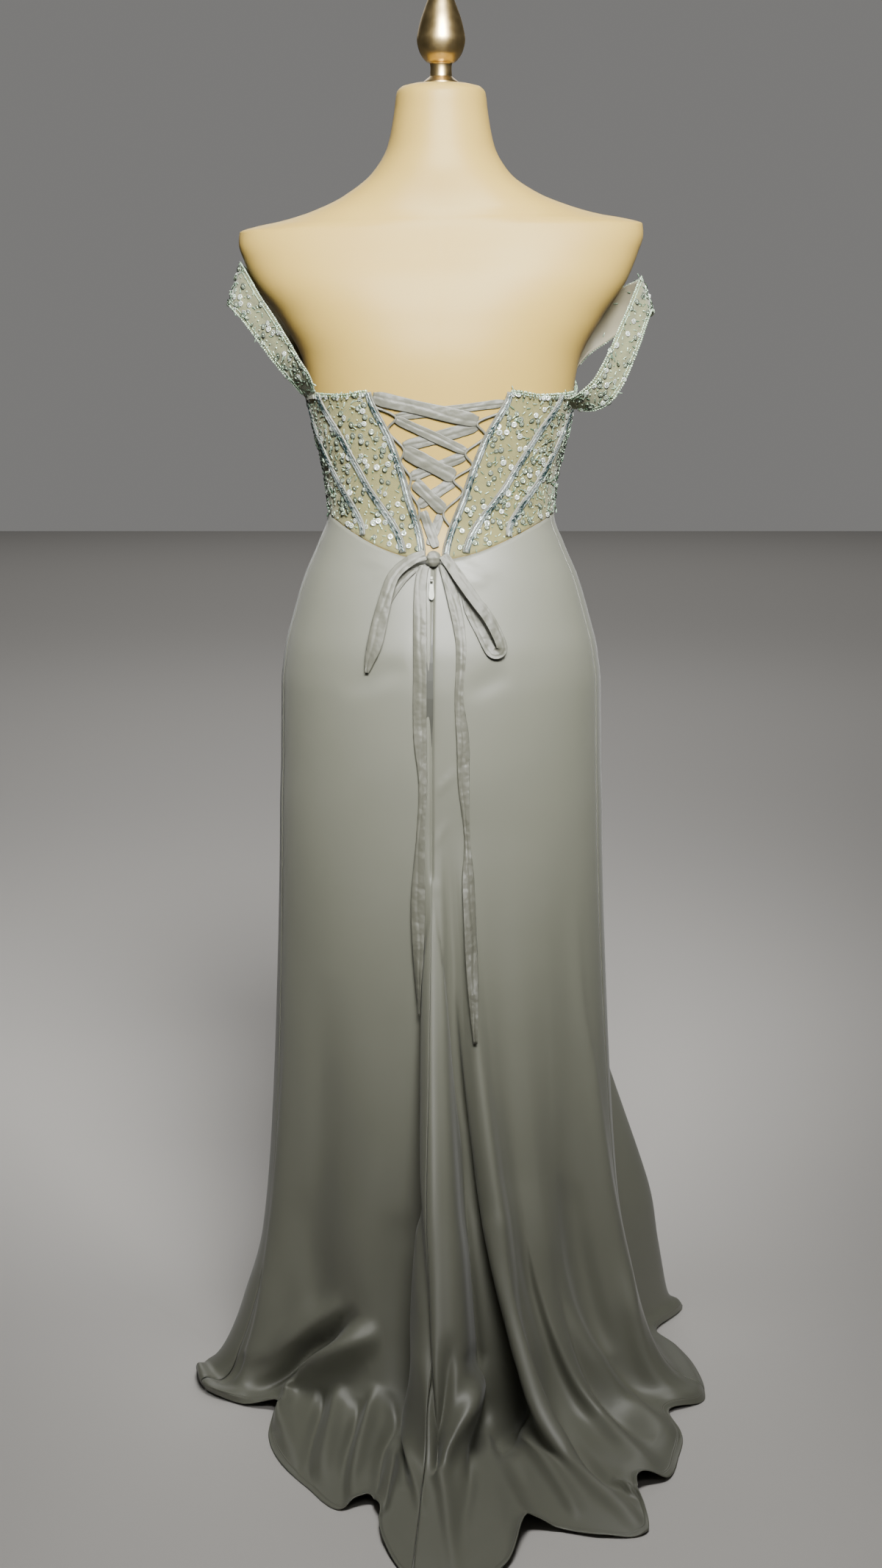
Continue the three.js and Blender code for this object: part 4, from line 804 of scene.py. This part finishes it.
def addStrap(word, sections, side):
    # the band with a ripple along its middle run, and beads on all but its ends
    grid = strapGrid(sections, strapSpec["rows"], strapSpec["columns"])
    normal = outwardNormals(grid, grid * [1, 1, 0], slice(60, 90))
    v = np.linspace(0, 1, strapSpec["columns"])[None, :]
    s = np.linspace(0, 1, strapSpec["rows"])[:, None]
    middle = softStep(0.12, 0.25, s) * (1 - softStep(0.8, 0.92, s))
    wave = np.sin(v * 13 + s * 9) * 0.6 + np.sin(s * 55 + v * 4) * 0.4
    grid = grid + normal * (strapSpec["ripple"] * wave * middle)[..., None]
    faces = gridFaces(*grid.shape[:2])
    if side > 0:
        faces = faces[:, ::-1]
    name = "strap" + word.title()
    band = addMesh(name, grid, faces, [bandNet, liningCloth], uv=clothUv(grid))
    thicken(band, strapSpec["thick"], inner=1)
    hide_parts("strap_" + word)
    shown, normal = grid[6:-10], normal[6:-10]  # the ends are tucked behind the bodice and stay bare
    spec = dict(beadSpec, gap=strapSpec["gap"], sequinShare=strapSpec["sequinShare"])
    beads = sprinkle(name, shown, spec, lambda g: normal)
    for edge, inner, level in ((0, 2, "Low"), (-1, -3, "High")):
        # a row of bugles runs end to end inside each edge, and seed beads are sewn over the edge itself
        for line, shape, spacing, size, material, kind in (
                (shown[:, inner], bugle, strapSpec["lineGap"], (3.7, 4.3), bugleGlass, "Line"),
                (shown[:, edge], seed, strapSpec["edgeGap"], (2.0, 2.9), seedGlass, "Edge")):
            length = runLength(line)
            at = np.arange(2, length[-1], spacing)
            centre, out = valuesAt(at, length, line), unit(valuesAt(at, length, normal[:, edge]))
            along, lean = turnedFrames(out, 0.5)
            if kind == "Line":
                along, lean = unit(np.gradient(centre, axis=0)), out
            beads.append(scatter(name + kind + level, shape, centre + out, along, lean, rng.uniform(*size, len(at)),
                                 material, rng.uniform(0.4, 1, len(at))))


addStrap("left", leftStrap, -1)
addStrap("right", rightStrap, 1)
print("straps ready")

# Skirt
skirtSpec = {"rows": 240, "thick": 0.9, "hem": 8.0, "billow": 9.0, "softBend": 8.0, "zipTurn": 2.2, "zipRoll": 2.0,
             "zipFoot": 600, "zipReach": 60, "creased": 60, "least": 0.6, "seam": 0.01}
# Creases are laid out as the camera sees them on the upright plane through the pole. Each point is x and height
# there, how far the cloth stands out, and the half widths to the left and right of the line on its way down.
creases = {
    "hollowOfTheLeftPanel": [(-125, 466, 0, 20, 22), (-133, 348, -4, 18, 24), (-139, 228, -6, 18, 26),
        (-150, 172, -8, 18, 28), (-141, 99, -5, 16, 22), (-129, 61, 0, 12, 14)],
    "swellOfTheLeftPanel": [(-73, 407, 0, 28, 28), (-74, 258, 3, 28, 28), (-95, 150, 5, 26, 24),
        (-85, 82, 2, 20, 20), (-79, 39, 0, 20, 20)],
    "grooveLeftOfTheGodet": [(-13, 545, 0, 4, 2), (-21, 481, -2, 8, 2), (-24, 407, -5, 12, 2.5),
        (-25, 288, -8, 18, 3), (-26, 198, -10, 22, 3.5), (-35, 150, -14, 24, 4), (-37, 65, -15, 24, 4.5),
        (-37, 5, -15, 18, 5), (-44, -47, -13, 14, 6), (-47, -90, -10, 10, 6), (-43, -125, -4, 8, 6),
        (-41, -142, 0, 6, 6)],
    "godetsLeftEdge": [(-8, 536, 0, 2, 6), (-17, 481, 1.5, 2.5, 10), (-20, 407, 2.5, 3, 14),
        (-21, 288, 3.5, 3, 16), (-22, 198, 4, 3, 14), (-29, 65, 6, 3.5, 6), (-28, 5, 7, 4, 7),
        (-35, -51, 9, 5, 7), (-35, -99, 9, 5, 8), (-28, -142, 6, 5, 8), (-22, -173, 0, 6, 8)],
    "overlapInsideTheGodet": [(-22, 229, 0, 2, 3), (-21, 180, -4, 2.4, 4), (-19, 87, -6, 2.6, 5),
        (-16, 14, -7, 3, 5), (-11, -47, -8, 3.5, 6), (-5, -103, -8, 4, 6), (-4, -125, 0, 4, 4)],
    "bodyOfTheGodet": [(5, 348, 0, 16, 18), (5, 198, 3, 18, 18), (19, 129, 5, 20, 20), (25, 44, 4, 20, 20),
        (27, 14, 0, 16, 16)],
    "gapRightOfTheGodet": [(-7, 545, 0, 2, 3), (2, 490, -2, 2.4, 4), (11, 425, -4, 2.6, 5),
        (18, 354, -8, 2.8, 6), (26, 279, -12, 3, 7), (36, 204, -15, 3.4, 7), (44, 159, -22, 4, 8),
        (53, 99, -32, 4.5, 11), (59, 48, -44, 5, 16), (62, -4, -54, 5, 24), (64, -47, -44, 6, 28),
        (69, -77, -18, 8, 26), (77, -103, 0, 10, 20)],
    "foldBesideTheGap": [(18, 466, 0, 4, 14), (25, 378, 2, 4, 16), (34, 279, 4, 4.5, 18),
        (45, 198, 6, 5, 18), (52, 167, 9, 5.5, 18), (62, 108, 12, 6, 17), (74, 57, 14, 7, 16),
        (95, 3, 16, 8, 15), (114, -42, 17, 9, 14), (137, -88, 16, 10, 14), (160, -123, 13, 10, 13),
        (191, -151, 9, 10, 12), (223, -180, 5, 9, 10), (240, -199, 0, 8, 8)],
    "valleyBesideThatFold": [(70, 180, 0, 8, 5), (80, 121, -6, 8, 5), (97, 57, -10, 9, 5),
        (114, 5, -13, 9, 5.5), (135, -47, -14, 9, 6), (160, -95, -12, 9, 7), (183, -127, -7, 8, 7),
        (202, -145, 0, 8, 7)],
    "secondFold": [(80, 228, 0, 14, 18), (95, 159, 7, 9, 18), (109, 108, 9, 7, 17), (128, 48, 12, 7, 15),
        (151, -6, 13, 7.5, 13), (176, -47, 14, 8, 12), (205, -86, 13, 9, 13), (239, -116, 8, 9, 14),
        (268, -129, 0, 10, 12)],
    "valleyOfTheThirdFold": [(129, 150, 0, 18, 10), (140, 82, -6, 18, 9), (157, 31, -10, 16, 8),
        (180, -17, -13, 14, 7), (205, -49, -12, 12, 7), (230, -71, -6, 10, 7), (246, -79, 0, 8, 7)],
    "thirdFold": [(150, 82, 0, 8, 12), (169, 31, 4, 7, 12), (194, -12, 8, 6, 10), (221, -42, 9, 6, 9),
        (250, -64, 6, 8, 10), (275, -73, 0, 8, 8)],
    "hollowBeforeTheRightSeam": [(108, 466, 0, 26, 18), (120, 348, -4, 28, 18), (135, 243, -8, 28, 15),
        (149, 197, -11, 28, 13), (163, 125, -12, 26, 12), (177, 65, -9, 22, 12), (190, 22, 0, 16, 12)],
    "ridgeOnTheRightSeam": [(148, 554, 0, 9, 6), (156, 437, 2, 9, 5), (171, 348, 3, 9, 5),
        (188, 228, 4, 9, 5), (208, 125, 7, 10, 6), (220, 57, 8, 10, 8), (237, 5, 8, 12, 10),
        (266, -23, 5, 14, 10), (295, -29, 0, 12, 8)],
    "ridgeOnTheLeftSeam": [(-172, 525, 0, 4, 14), (-173, 378, 2, 4, 16), (-181, 258, 4, 4, 18),
        (-188, 176, 6, 4.5, 20), (-201, 82, 8, 5, 20), (-214, 27, 8, 6, 20), (-226, -8, 5, 7, 14),
        (-232, -27, 0, 8, 10)],
    "overhangAboveTheBreak": [(-221, 14, 0, 9, 12), (-190, 24, 8, 9, 16), (-166, 42, 13, 9, 18),
        (-141, 62, 11, 9, 18), (-112, 87, 0, 9, 14)],
    "breakOverTheFloor": [(-219, -23, 0, 7, 6), (-197, -10, -13, 9, 7), (-174, 6, -22, 10, 7),
        (-157, 24, -26, 10, 7), (-135, 43, -22, 11, 8), (-114, 61, -12, 11, 9), (-94, 78, 0, 9, 8)],
    "moundBelowTheBreak": [(-187, -27, 0, 8, 7), (-166, -10, 12, 12, 7), (-141, 11, 20, 18, 9),
        (-116, 29, 23, 22, 10), (-92, 42, 17, 22, 13), (-67, 46, 0, 16, 12)],
    "floorRidgeA": [(-166, -6, 0, 5, 7), (-174, -25, 10, 5, 8), (-181, -42, 9, 6, 9),
        (-179, -73, 7, 9, 10), (-169, -103, 3, 10, 10), (-159, -125, 0, 8, 8)],
    "floorValleyA": [(-135, -14, 0, 5, 6), (-140, -42, -10, 5, 6), (-149, -77, -8, 6, 6),
        (-155, -112, -5, 6, 6), (-153, -138, 0, 5, 5)],
    "floorRidgeB": [(-113, -12, 0, 8, 8), (-120, -42, 11, 7, 9), (-129, -81, 9, 8, 9),
        (-135, -116, 6, 9, 9), (-133, -140, 0, 8, 8)],
    "floorValleyB": [(-94, -29, 0, 5, 6), (-100, -60, -9, 5, 6), (-109, -95, -7, 6, 7),
        (-113, -134, -3, 7, 7), (-113, -160, 0, 7, 7)],
    "floorRidgeC": [(-73, -12, 0, 8, 8), (-80, -47, 12, 7, 8), (-92, -86, 11, 7, 9), (-100, -125, 8, 8, 9),
        (-101, -160, 3, 8, 9), (-100, -173, 0, 8, 8)],
    "floorValleyC": [(-61, -21, 0, 6, 6), (-58, -55, -8, 6, 6), (-68, -90, -10, 6, 6),
        (-75, -125, -9, 6, 6), (-79, -158, -6, 5, 5), (-80, -169, 0, 5, 5)],
    "floorRidgeD": [(-47, -64, 0, 6, 6), (-52, -99, 9, 6, 6), (-61, -134, 11, 6, 6), (-67, -160, 8, 6, 6),
        (-68, -173, 0, 5, 5)],
    "rollAtTheLeftTip": [(-273, 9, 0, 5, 6), (-269, 3, 12, 5, 6), (-261, -17, 10, 5, 7),
        (-242, -26, 7, 5, 8), (-222, -29, 0, 5, 8)],
    "scoopAtTheLeftTip": [(-221, 27, 0, 8, 8), (-236, 5, -8, 9, 8), (-252, -6, -6, 8, 8),
        (-265, -8, 0, 6, 6)],
    "notchAtTheLeft": [(-204, -60, 0, 4, 5), (-196, -46, 9, 4, 5), (-190, -41, 13, 4, 5),
        (-187, -55, 7, 4, 6), (-191, -71, 0, 4, 6)],
    "footOfTheGodet": [(48, 22, 0, 8, 10), (40, -4, 8, 7, 14), (27, -42, 14, 7, 14), (13, -77, 15, 7, 12),
        (-1, -116, 12, 6, 12), (3, -151, 8, 6, 12), (9, -195, 5, 6, 12), (15, -235, 2, 6, 10)],
    "shadeLeftOfThatFoot": [(13, 48, 0, 10, 8), (10, 5, -7, 10, 6), (6, -38, -11, 9, 5),
        (-2, -77, -11, 7, 5), (-6, -112, -6, 6, 5), (-7, -125, 0, 6, 5)],
    "valleyRightOfThatFoot": [(55, -21, 0, 8, 7), (49, -60, -8, 9, 7), (39, -99, -9, 9, 8),
        (32, -142, -6, 10, 8), (24, -186, -3, 10, 8), (19, -221, 0, 10, 8)],
    "ridgeOnTheFlat": [(62, -47, 0, 7, 12), (85, -66, 7, 7, 13), (110, -97, 9, 7, 14),
        (131, -129, 9, 7, 14), (150, -160, 6, 7, 12), (160, -177, 0, 7, 10)],
    "dipOnTheFlat": [(77, -86, 0, 16, 12), (94, -125, -6, 16, 12), (106, -160, -5, 16, 12),
        (111, -186, 0, 14, 12)],
    "curlAtTheRight": [(195, -129, 0, 4, 5), (211, -138, 9, 4, 5), (226, -143, 8, 4, 5),
        (241, -138, 0, 4, 5)],
    "zipFootPucker": [(-24, 568, 0, 2, 2), (-8, 566, 1, 2.2, 2.2), (5, 561, 0, 2, 2)],
    "waistPullLeftHigh": [(-93, 929, 0, 4, 4), (-68, 924, 1.6, 4, 4), (-43, 918, 1.2, 4, 4),
        (-34, 916, 0, 4, 4)],
    "waistPullLeftLow": [(-74, 908, 0, 5, 5), (-52, 912, 1.3, 4, 4), (-38, 916, 1, 3, 3),
        (-34, 916, 0, 3, 3)],
    "waistPullRightHigh": [(10, 927, 0, 4, 4), (24, 922, 1.5, 4, 4), (41, 915, 1.5, 4, 4),
        (66, 909, 0, 5, 5)],
    "waistPullRightLow": [(7, 913, 0, 4, 4), (22, 907, 1.4, 4, 4), (38, 903, 1.2, 5, 5),
        (53, 903, 0, 5, 5)],
    "shadeOverTheRightSeat": [(22, 780, 0, 10, 12), (41, 786, -1.5, 12, 14), (60, 796, -1.6, 12, 14),
        (79, 802, 0, 12, 12)],
    "dragLineHigh": [(-11, 667, 0, 3, 3), (-1, 675, 1.1, 3.5, 3.5), (10, 686, 1.1, 4, 4),
        (21, 694, 0, 4, 4)],
    "dragLineLow": [(-11, 605, 0, 3, 3), (-1, 622, 1, 4, 4), (12, 643, 0, 4, 4)],
    "betweenTheSeatsHalves": [(-21, 882, 0, 9, 9), (-20, 844, -1.6, 10, 10), (-17, 791, -2.4, 11, 11),
        (-15, 718, -2, 11, 11), (-15, 654, 0, 10, 10)],
    "underTheLeftSeat": [(-112, 783, 0, 12, 12), (-84, 793, -1.6, 13, 13), (-59, 804, -1.6, 13, 13),
        (-37, 811, 0, 12, 12)],
}


def drawn(points):  # where the camera sees a point, on the upright plane through the pole
    share = eye["away"] / (eye["away"] + points[..., 1])
    return points[..., 0] * share, eye["high"] + (points[..., 2] - eye["high"]) * share


def creaseHeight(points, lines):
    # a crease is a bell across its bent line
    x, z = drawn(points)
    total = np.zeros(x.shape)
    for line in lines.values():
        route = splineRows(line, np.linspace(0, len(line) - 1, 6 * (len(line) - 1) + 1))
        best, value = np.full(x.shape, 1e9), np.zeros(x.shape)
        for a, b in zip(route[:-1], route[1:]):
            run = b[:2] - a[:2]
            t = np.clip(((x - a[0]) * run[0] + (z - a[1]) * run[1]) / (run @ run), 0, 1)
            away = np.hypot(x - a[0] - t * run[0], z - a[1] - t * run[1])
            deep, left, right = (a[k] + (b[k] - a[k]) * t for k in (2, 3, 4))
            wide = np.where(run[0] * (z - a[1]) - run[1] * (x - a[0]) > 0, right, left)
            near = away < best
            best, value = np.where(near, away, best), np.where(near, deep * np.exp(-(away / wide) ** 2), value)
        total += value
    return total


def smoothRows(values, reach):  # moving average down the rows, twice, with the end rows repeated
    for turn in range(2):
        total = np.cumsum(np.pad(values, ((reach + 1, reach), (0, 0), (0, 0)), "edge"), 0)
        values = (total[2 * reach + 1:] - total[:-2 * reach - 1]) / (2 * reach + 1)
    return values


def addSkirt(name, node, start, end, columns):
    # columns run between two seams, rows from waist to hem, and creases stand out along the smoothed normal
    places = np.linspace(start + skirtSpec["seam"], end - skirtSpec["seam"], columns)[None, :]
    n = skirtSpec["rows"]
    downs = np.concatenate([np.linspace(0, 0.2, int(n * 0.18))[:-1], np.linspace(0.2, 1, int(n * 0.46))[:-1],
                            np.linspace(1, 2, int(n * 0.12))[:-1], np.linspace(2, 3, int(n * 0.25))])[:, None]
    grid = skirtPoint(places, downs)
    # the cloth on the floor lies in a loose billow, and its bend is softer than the pattern's
    billow = skirtSpec["billow"] * softStep(1.2, 2.1, downs) * (1 - softStep(2.55, 3, downs))
    grid[..., 2] += billow + skirtSpec["softBend"] * np.exp(-((downs - 1.6) / 0.45) ** 2)
    bent = (softStep(0.85, 0.95, downs) * (1 - softStep(2.6, 2.95, downs)))[..., None]
    grid = grid * (1 - bent) + smoothRows(grid, 14) * bent
    normal = unit(smoothRows(gridNormals(grid), 12))
    normal = normal * np.sign((normal[:80] * radial(grid)[:80]).sum(-1).mean())
    grid = grid + normal * (creaseHeight(grid, creases) * (grid[..., 1] < skirtSpec["creased"]))[..., None]
    cloth = clothUv(grid) * 1000
    across, down = cloth[..., 0], cloth[..., 1]
    edge = np.minimum(across - across[:, :1], across[:, -1:] - across)
    zipped = (grid[..., 2] > skirtSpec["zipFoot"]) & (np.abs(grid[..., 0]) < skirtSpec["zipReach"])
    tucked = skirtSpec["zipTurn"] * zipped * np.exp(-(edge / skirtSpec["zipRoll"]) ** 2)
    grid = grid - normal * tucked[..., None]  # the cloth turns in beside the zip
    grid[..., 2] = np.maximum(grid[..., 2], skirtSpec["least"])
    obj = addMesh(name, grid, gridFaces(*grid.shape[:2]), satin, uv=clothUv(grid),
                  values={"hem": np.clip((down - down[-1:]) / (2 * skirtSpec["hem"]), 0, 1)})
    thicken(obj, skirtSpec["thick"])
    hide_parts(node)


addSkirt("skirtBackRight", "skirt_back_right", 0, rightSide, 190)
addSkirt("skirtFront", "skirt_front", rightSide, leftSide, 140)
addSkirt("skirtBackLeft", "skirt_back_left", leftSide, lastColumn, 150)
print("skirt ready")

# Lacing: a strand's two ends as x and z, its width, and whether it lies over the others
laceStrands = [((-67, 1103), (35, 1079.5), 15, True), ((63, 1097.5), (-44, 1084), 9, False),
               ((-44, 1080), (23, 1048.5), 10.5, True), ((35, 1073), (-36, 1053), 13, False),
               ((-35, 1046.5), (11, 1022), 16, True), ((23, 1042), (-29, 1021.5), 11, False),
               ((-25, 1013), (1, 987.5), 13, True), ((11, 1015), (-21, 992.5), 12, False),
               ((-17.5, 982), (-6, 950), 10, True), ((-1.5, 978), (-11, 952), 10, False)]
laceSpec = {"lower": 1.3, "upper": 2.75, "thick": 0.45, "loopLift": 3.0, "cord": 1.35, "loopReach": 14,
            "loopInset": 6.3, "loopTop": 8, "past": 3}


def addStrand(k, start, finish, width, upper):
    # a straight run over the form's back from one end to the other
    t = np.linspace(0, 1, 60)
    reach = laceSpec["past"] / np.hypot(finish[0] - start[0], finish[1] - start[1])
    run = t * (1 + 2 * reach) - reach  # each end goes on a little past the loop that holds it
    x = start[0] + (finish[0] - start[0]) * run
    z = start[1] + (finish[1] - start[1]) * run
    lift = laceSpec["upper"] if upper else laceSpec["lower"]
    centre = backPoint(x, z, lift)
    out = facing(backPoint, x, z)
    _, across, _ = pathFrame(centre, out)
    pinch = 1 - 0.3 * (np.exp(-(t / 0.05) ** 2) + np.exp(-((1 - t) / 0.05) ** 2))  # drawn in where it meets a loop
    drift = 0.05 * np.sin(t * 9 + k)
    obj, grid = ribbonMesh("laceStrand" + str(k), centre, across, out, width * (pinch + drift), laceSpec["thick"],
                           0.025, fold=0.35)
    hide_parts("lace_strand_" + str(k))


for k, strand in enumerate(laceStrands):
    addStrand(k + 1, *strand)


def addTube(name, node, path, radius, around=8):  # a ring of the radius carried along the path
    _, across, face = pathFrame(path, radial(path))
    turn = np.arange(around)[None, :, None] * 360 / around * degree
    grid = path[:, None] + radius * (across[:, None] * np.cos(turn) + face[:, None] * np.sin(turn))
    uv = np.stack(np.broadcast_arrays(np.arange(around)[None] * 0.0008, np.arange(len(path))[:, None] * 0.001), -1)
    obj = addMesh(name, grid, closedFaces(len(path), around), ribbonSatin, uv=uv)
    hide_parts(node)


loopTips = {"left": [(-46, 1083), (-38, 1050), (-31, 1020), (-23, 990)],
            "right": [(37, 1077), (25, 1046), (13, 1018), (2.8, 984)]}
for word, side in (("left", -1), ("right", 1)):
    stops = []
    for k, (x, z) in enumerate(loopTips[word]):
        for height in ([] if k else [z + 10]) + [z - laceSpec["loopReach"]]:
            share = min(0.95, (topZ(0) - height) / (topZ(0) - waistZ(0)))
            sewn = seamPoint("lace", side, share, 0)[0] - side * laceSpec["loopInset"]
            stops.append((sewn, min(height, topZ(0) - laceSpec["loopTop"])))
        stops.insert(len(stops) - 1, (x, z))
    rounded = splineRows(stops, np.linspace(0, len(stops) - 1, 20 * (len(stops) - 1) + 1))
    path = backPoint(rounded[:, 0], rounded[:, 1], laceSpec["loopLift"])
    addTube("laceLoops" + word.title(), "lace_loops_" + word, path, laceSpec["cord"])
print("lacing ready")

# Bow: a route is x, z, width and how far the ribbon's middle stands off the skirt
leftTail = [(-17, 928.5, 10, 3.6), (-21.5, 906, 13, 1.9), (-22, 831, 15, 1.4), (-22, 754, 14, 1.4),
            (-19, 700, 9, 1.5), (-21, 650, 9, 2), (-24, 581, 15, 4.2), (-24, 517, 12, 6), (-23, 453, 5, 6.5)]
rightTail = [(2, 930, 9, 3.6), (13, 893, 13, 1.9), (21, 847, 11, 1.5), (19, 792, 9, 1.4), (23, 746, 14, 1.4),
             (24, 700, 12, 1.5), (28, 640, 6, 2.4), (29, 590, 14, 3.6), (32, 520, 15, 5), (37, 425, 5, 6)]
leftLoop = [(-16.2, 940, 11, 6.5), (-31, 935, 12, 11), (-50, 918, 13, 12), (-60, 888, 15, 11), (-69, 850, 17, 8),
            (-75.5, 828, 10, 5.5), (-78, 817, 3.5, 4), (-74.5, 832, 9, 2), (-69, 856, 15, 1.7),
            (-60, 888, 14, 1.7), (-44, 912, 12, 2.4), (-29, 926, 10, 3)]
rightLoop = [(2.2, 940, 10, 7), (15, 923, 12, 12), (33, 898, 12, 14), (52, 872, 12, 14), (64, 844, 12, 10),
             (54, 839, 12, 4), (42, 860, 12, 1.8), (31, 882, 12, 1.8), (27, 896, 10, 2)]
bowSpec = {"thick": 0.5, "knot": (-8, 936, 5.3), "wide": 8, "deep": 5, "tall": 8.5}


def routeOnSkirt(route, each):  # the route's spline laid on the fallen cloth, at its lift
    at = splineRows(route, np.linspace(0, len(route) - 1, (len(route) - 1) * each + 1))
    x, z, width, lift = at.T
    level = np.minimum(z, waistZ(0) - 3)
    centre = skirtBack(x, level, lift + gown["skirtWall"] / 2)
    centre[:, 2] = z
    return centre, facing(skirtBack, x, level), width


def addTail(name, node, route, twist):
    # a ribbon on its route over the skirt
    centre, out, width = routeOnSkirt(route, 14)
    t = np.linspace(0, 1, len(centre))
    _, across, _ = pathFrame(centre, out)
    lean = twist * np.sin(t * 17) * np.clip(t * 5, 0, 1)  # the tail rocks a little about its own length
    across, out = across * np.cos(lean)[:, None] + out * np.sin(lean)[:, None], \
        out * np.cos(lean)[:, None] - across * np.sin(lean)[:, None]
    obj, grid = ribbonMesh(name, centre + out * 0.5, across, out, width, bowSpec["thick"], 0.05)
    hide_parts(node)


def addLoop(name, node, route):
    # a ribbon out and back on its route, with its way across taken square to the run
    centre, out, width = routeOnSkirt(route, 14)
    run = np.gradient(centre, axis=0)
    turnedRun = np.stack([-run[:, 2], 0 * run[:, 0], run[:, 0]], -1)
    across, last = np.zeros_like(centre), np.array([0, 0, 1.0])
    for k, (step, way) in enumerate(zip(turnedRun, run)):  # the ribbon keeps one edge on top as it turns
        step = -step if step @ last < 0 else step
        last = unit(step) if np.linalg.norm(step) > 0.35 * np.linalg.norm(way) else last
        across[k] = last
    across = unit(across - out * (across * out).sum(-1, keepdims=True))
    face = unit(np.cross(across, unit(run)))
    obj, grid = ribbonMesh(name, centre, across, face, width, bowSpec["thick"], 0.04)
    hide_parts(node)


addTail("tailLeft", "bow_tail_left", leftTail, 0.25)
addTail("tailRight", "bow_tail_right", rightTail, 0.3)
addLoop("bowLoopLeft", "bow_loop_left", leftLoop)
addLoop("bowLoopRight", "bow_loop_right", rightLoop)


def addKnot(rings=40, around=56):  # an ellipsoid gathered by folds that run across it
    x, z, lift = bowSpec["knot"]
    centre = skirtBack(np.array([x]), np.array([waistZ(0) - 3]), np.array([lift + gown["skirtWall"] / 2]))[0]
    centre[2] = z
    lat = np.linspace(-88, 88, rings)[:, None] * degree
    lon = np.arange(around)[None, :] * 360 / around * degree
    fold = 1 + 0.06 * np.sin(lon * 5 + lat * 2.2) + 0.04 * np.sin(lat * 9)
    across, deep = np.cos(lat) * np.cos(lon) * fold, np.cos(lat) * np.sin(lon) * fold
    grid = np.stack([across * bowSpec["wide"], deep * bowSpec["deep"], np.sin(lat) * bowSpec["tall"] + 0 * lon], -1)
    obj = addMesh("bowKnot", grid + centre, closedFaces(rings, around), ribbonSatin, uv=clothUv(grid))
    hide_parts("bow_knot")


addKnot()
print("bow ready")

# Zip: the metal keeps its own shape, and the tape behind the seam is coloured near black as painted shade of the gap in
# the seam
for node, material in (("zip_slider", zipPaint), ("zip_pull", zipPaint), ("zip_tape", zipGapPaintedShade)):
    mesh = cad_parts[node].data
    mesh.materials.clear()
    mesh.materials.append(material)

# Floor, lights and camera, in metres
floorSpec = {"colour": (0.52, 0.5, 0.47), "rough": 0.75, "size": 30, "drop": 0.0005}
skySpec = {"colour": (1.0, 0.985, 0.96, 1), "shines": 0.03, "seen": 0.2}
lights = {  # place, what it points at, width, watts and spread
    "key": ((0.25, -2.05, 2.3), (0, -0.1, 1.3), 0.9, 24, 39.5),
    "fill": ((-0.7, -2.7, 1.7), (0, 0, 0.9), 1.4, 0.5, 180),
    "top": ((0.1, -0.8, 3.2), (0, -0.45, 0), 1.0, 4.8, 45),
    "far": ((0, 5.5, 3.5), (0, 4.5, 0), 3.0, 46, 180),
    "horizon": ((0, 11.5, 5), (0, 11.5, 0), 8.0, 150, 180),
    "back": ((-0.7, 2.3, 2.6), (0, 0, 1.0), 1.6, 5, 180),
}
bpy.ops.mesh.primitive_plane_add(size=floorSpec["size"], location=(0, 0, -floorSpec["drop"]))
floor = bpy.context.object
floor.name = "floor"
floor.data.materials.append(newMaterial("floor", floorSpec["colour"], floorSpec["rough"])[0])
world = bpy.data.worlds.new("studio")
bpy.context.scene.world = world
world.use_nodes = True
nodes, links = world.node_tree.nodes, world.node_tree.links
nodes["Background"].inputs["Color"].default_value = skySpec["colour"]
rays = addNode(nodes, "ShaderNodeLightPath")  # the studio beyond the floor is seen lighter than it shines
strength = mapRange(nodes, links, rays.outputs["Is Camera Ray"], To_Min=skySpec["shines"], To_Max=skySpec["seen"])
links.new(strength, nodes["Background"].inputs["Strength"])
for name, (place, target, size, watts, spread) in lights.items():
    light = bpy.data.lights.new(name, "AREA")
    light.size, light.energy, light.spread = size, watts, spread * degree
    lamp = bpy.data.objects.new(name, light)
    bpy.context.scene.collection.objects.link(lamp)
    lamp.location = place
    lamp.rotation_euler = (Vector(target) - Vector(place)).to_track_quat("-Z", "Y").to_euler()
camera = bpy.data.cameras.new("camera")
camera.lens, camera.sensor_width = eye["lens"], 36
viewer = bpy.data.objects.new("camera", camera)
bpy.context.scene.collection.objects.link(viewer)
viewer.location = (0, -eye["away"] / 1000, eye["high"] / 1000)
viewer.rotation_euler = ((90 - eye["down"]) * degree, 0, 0)
bpy.context.scene.camera = viewer
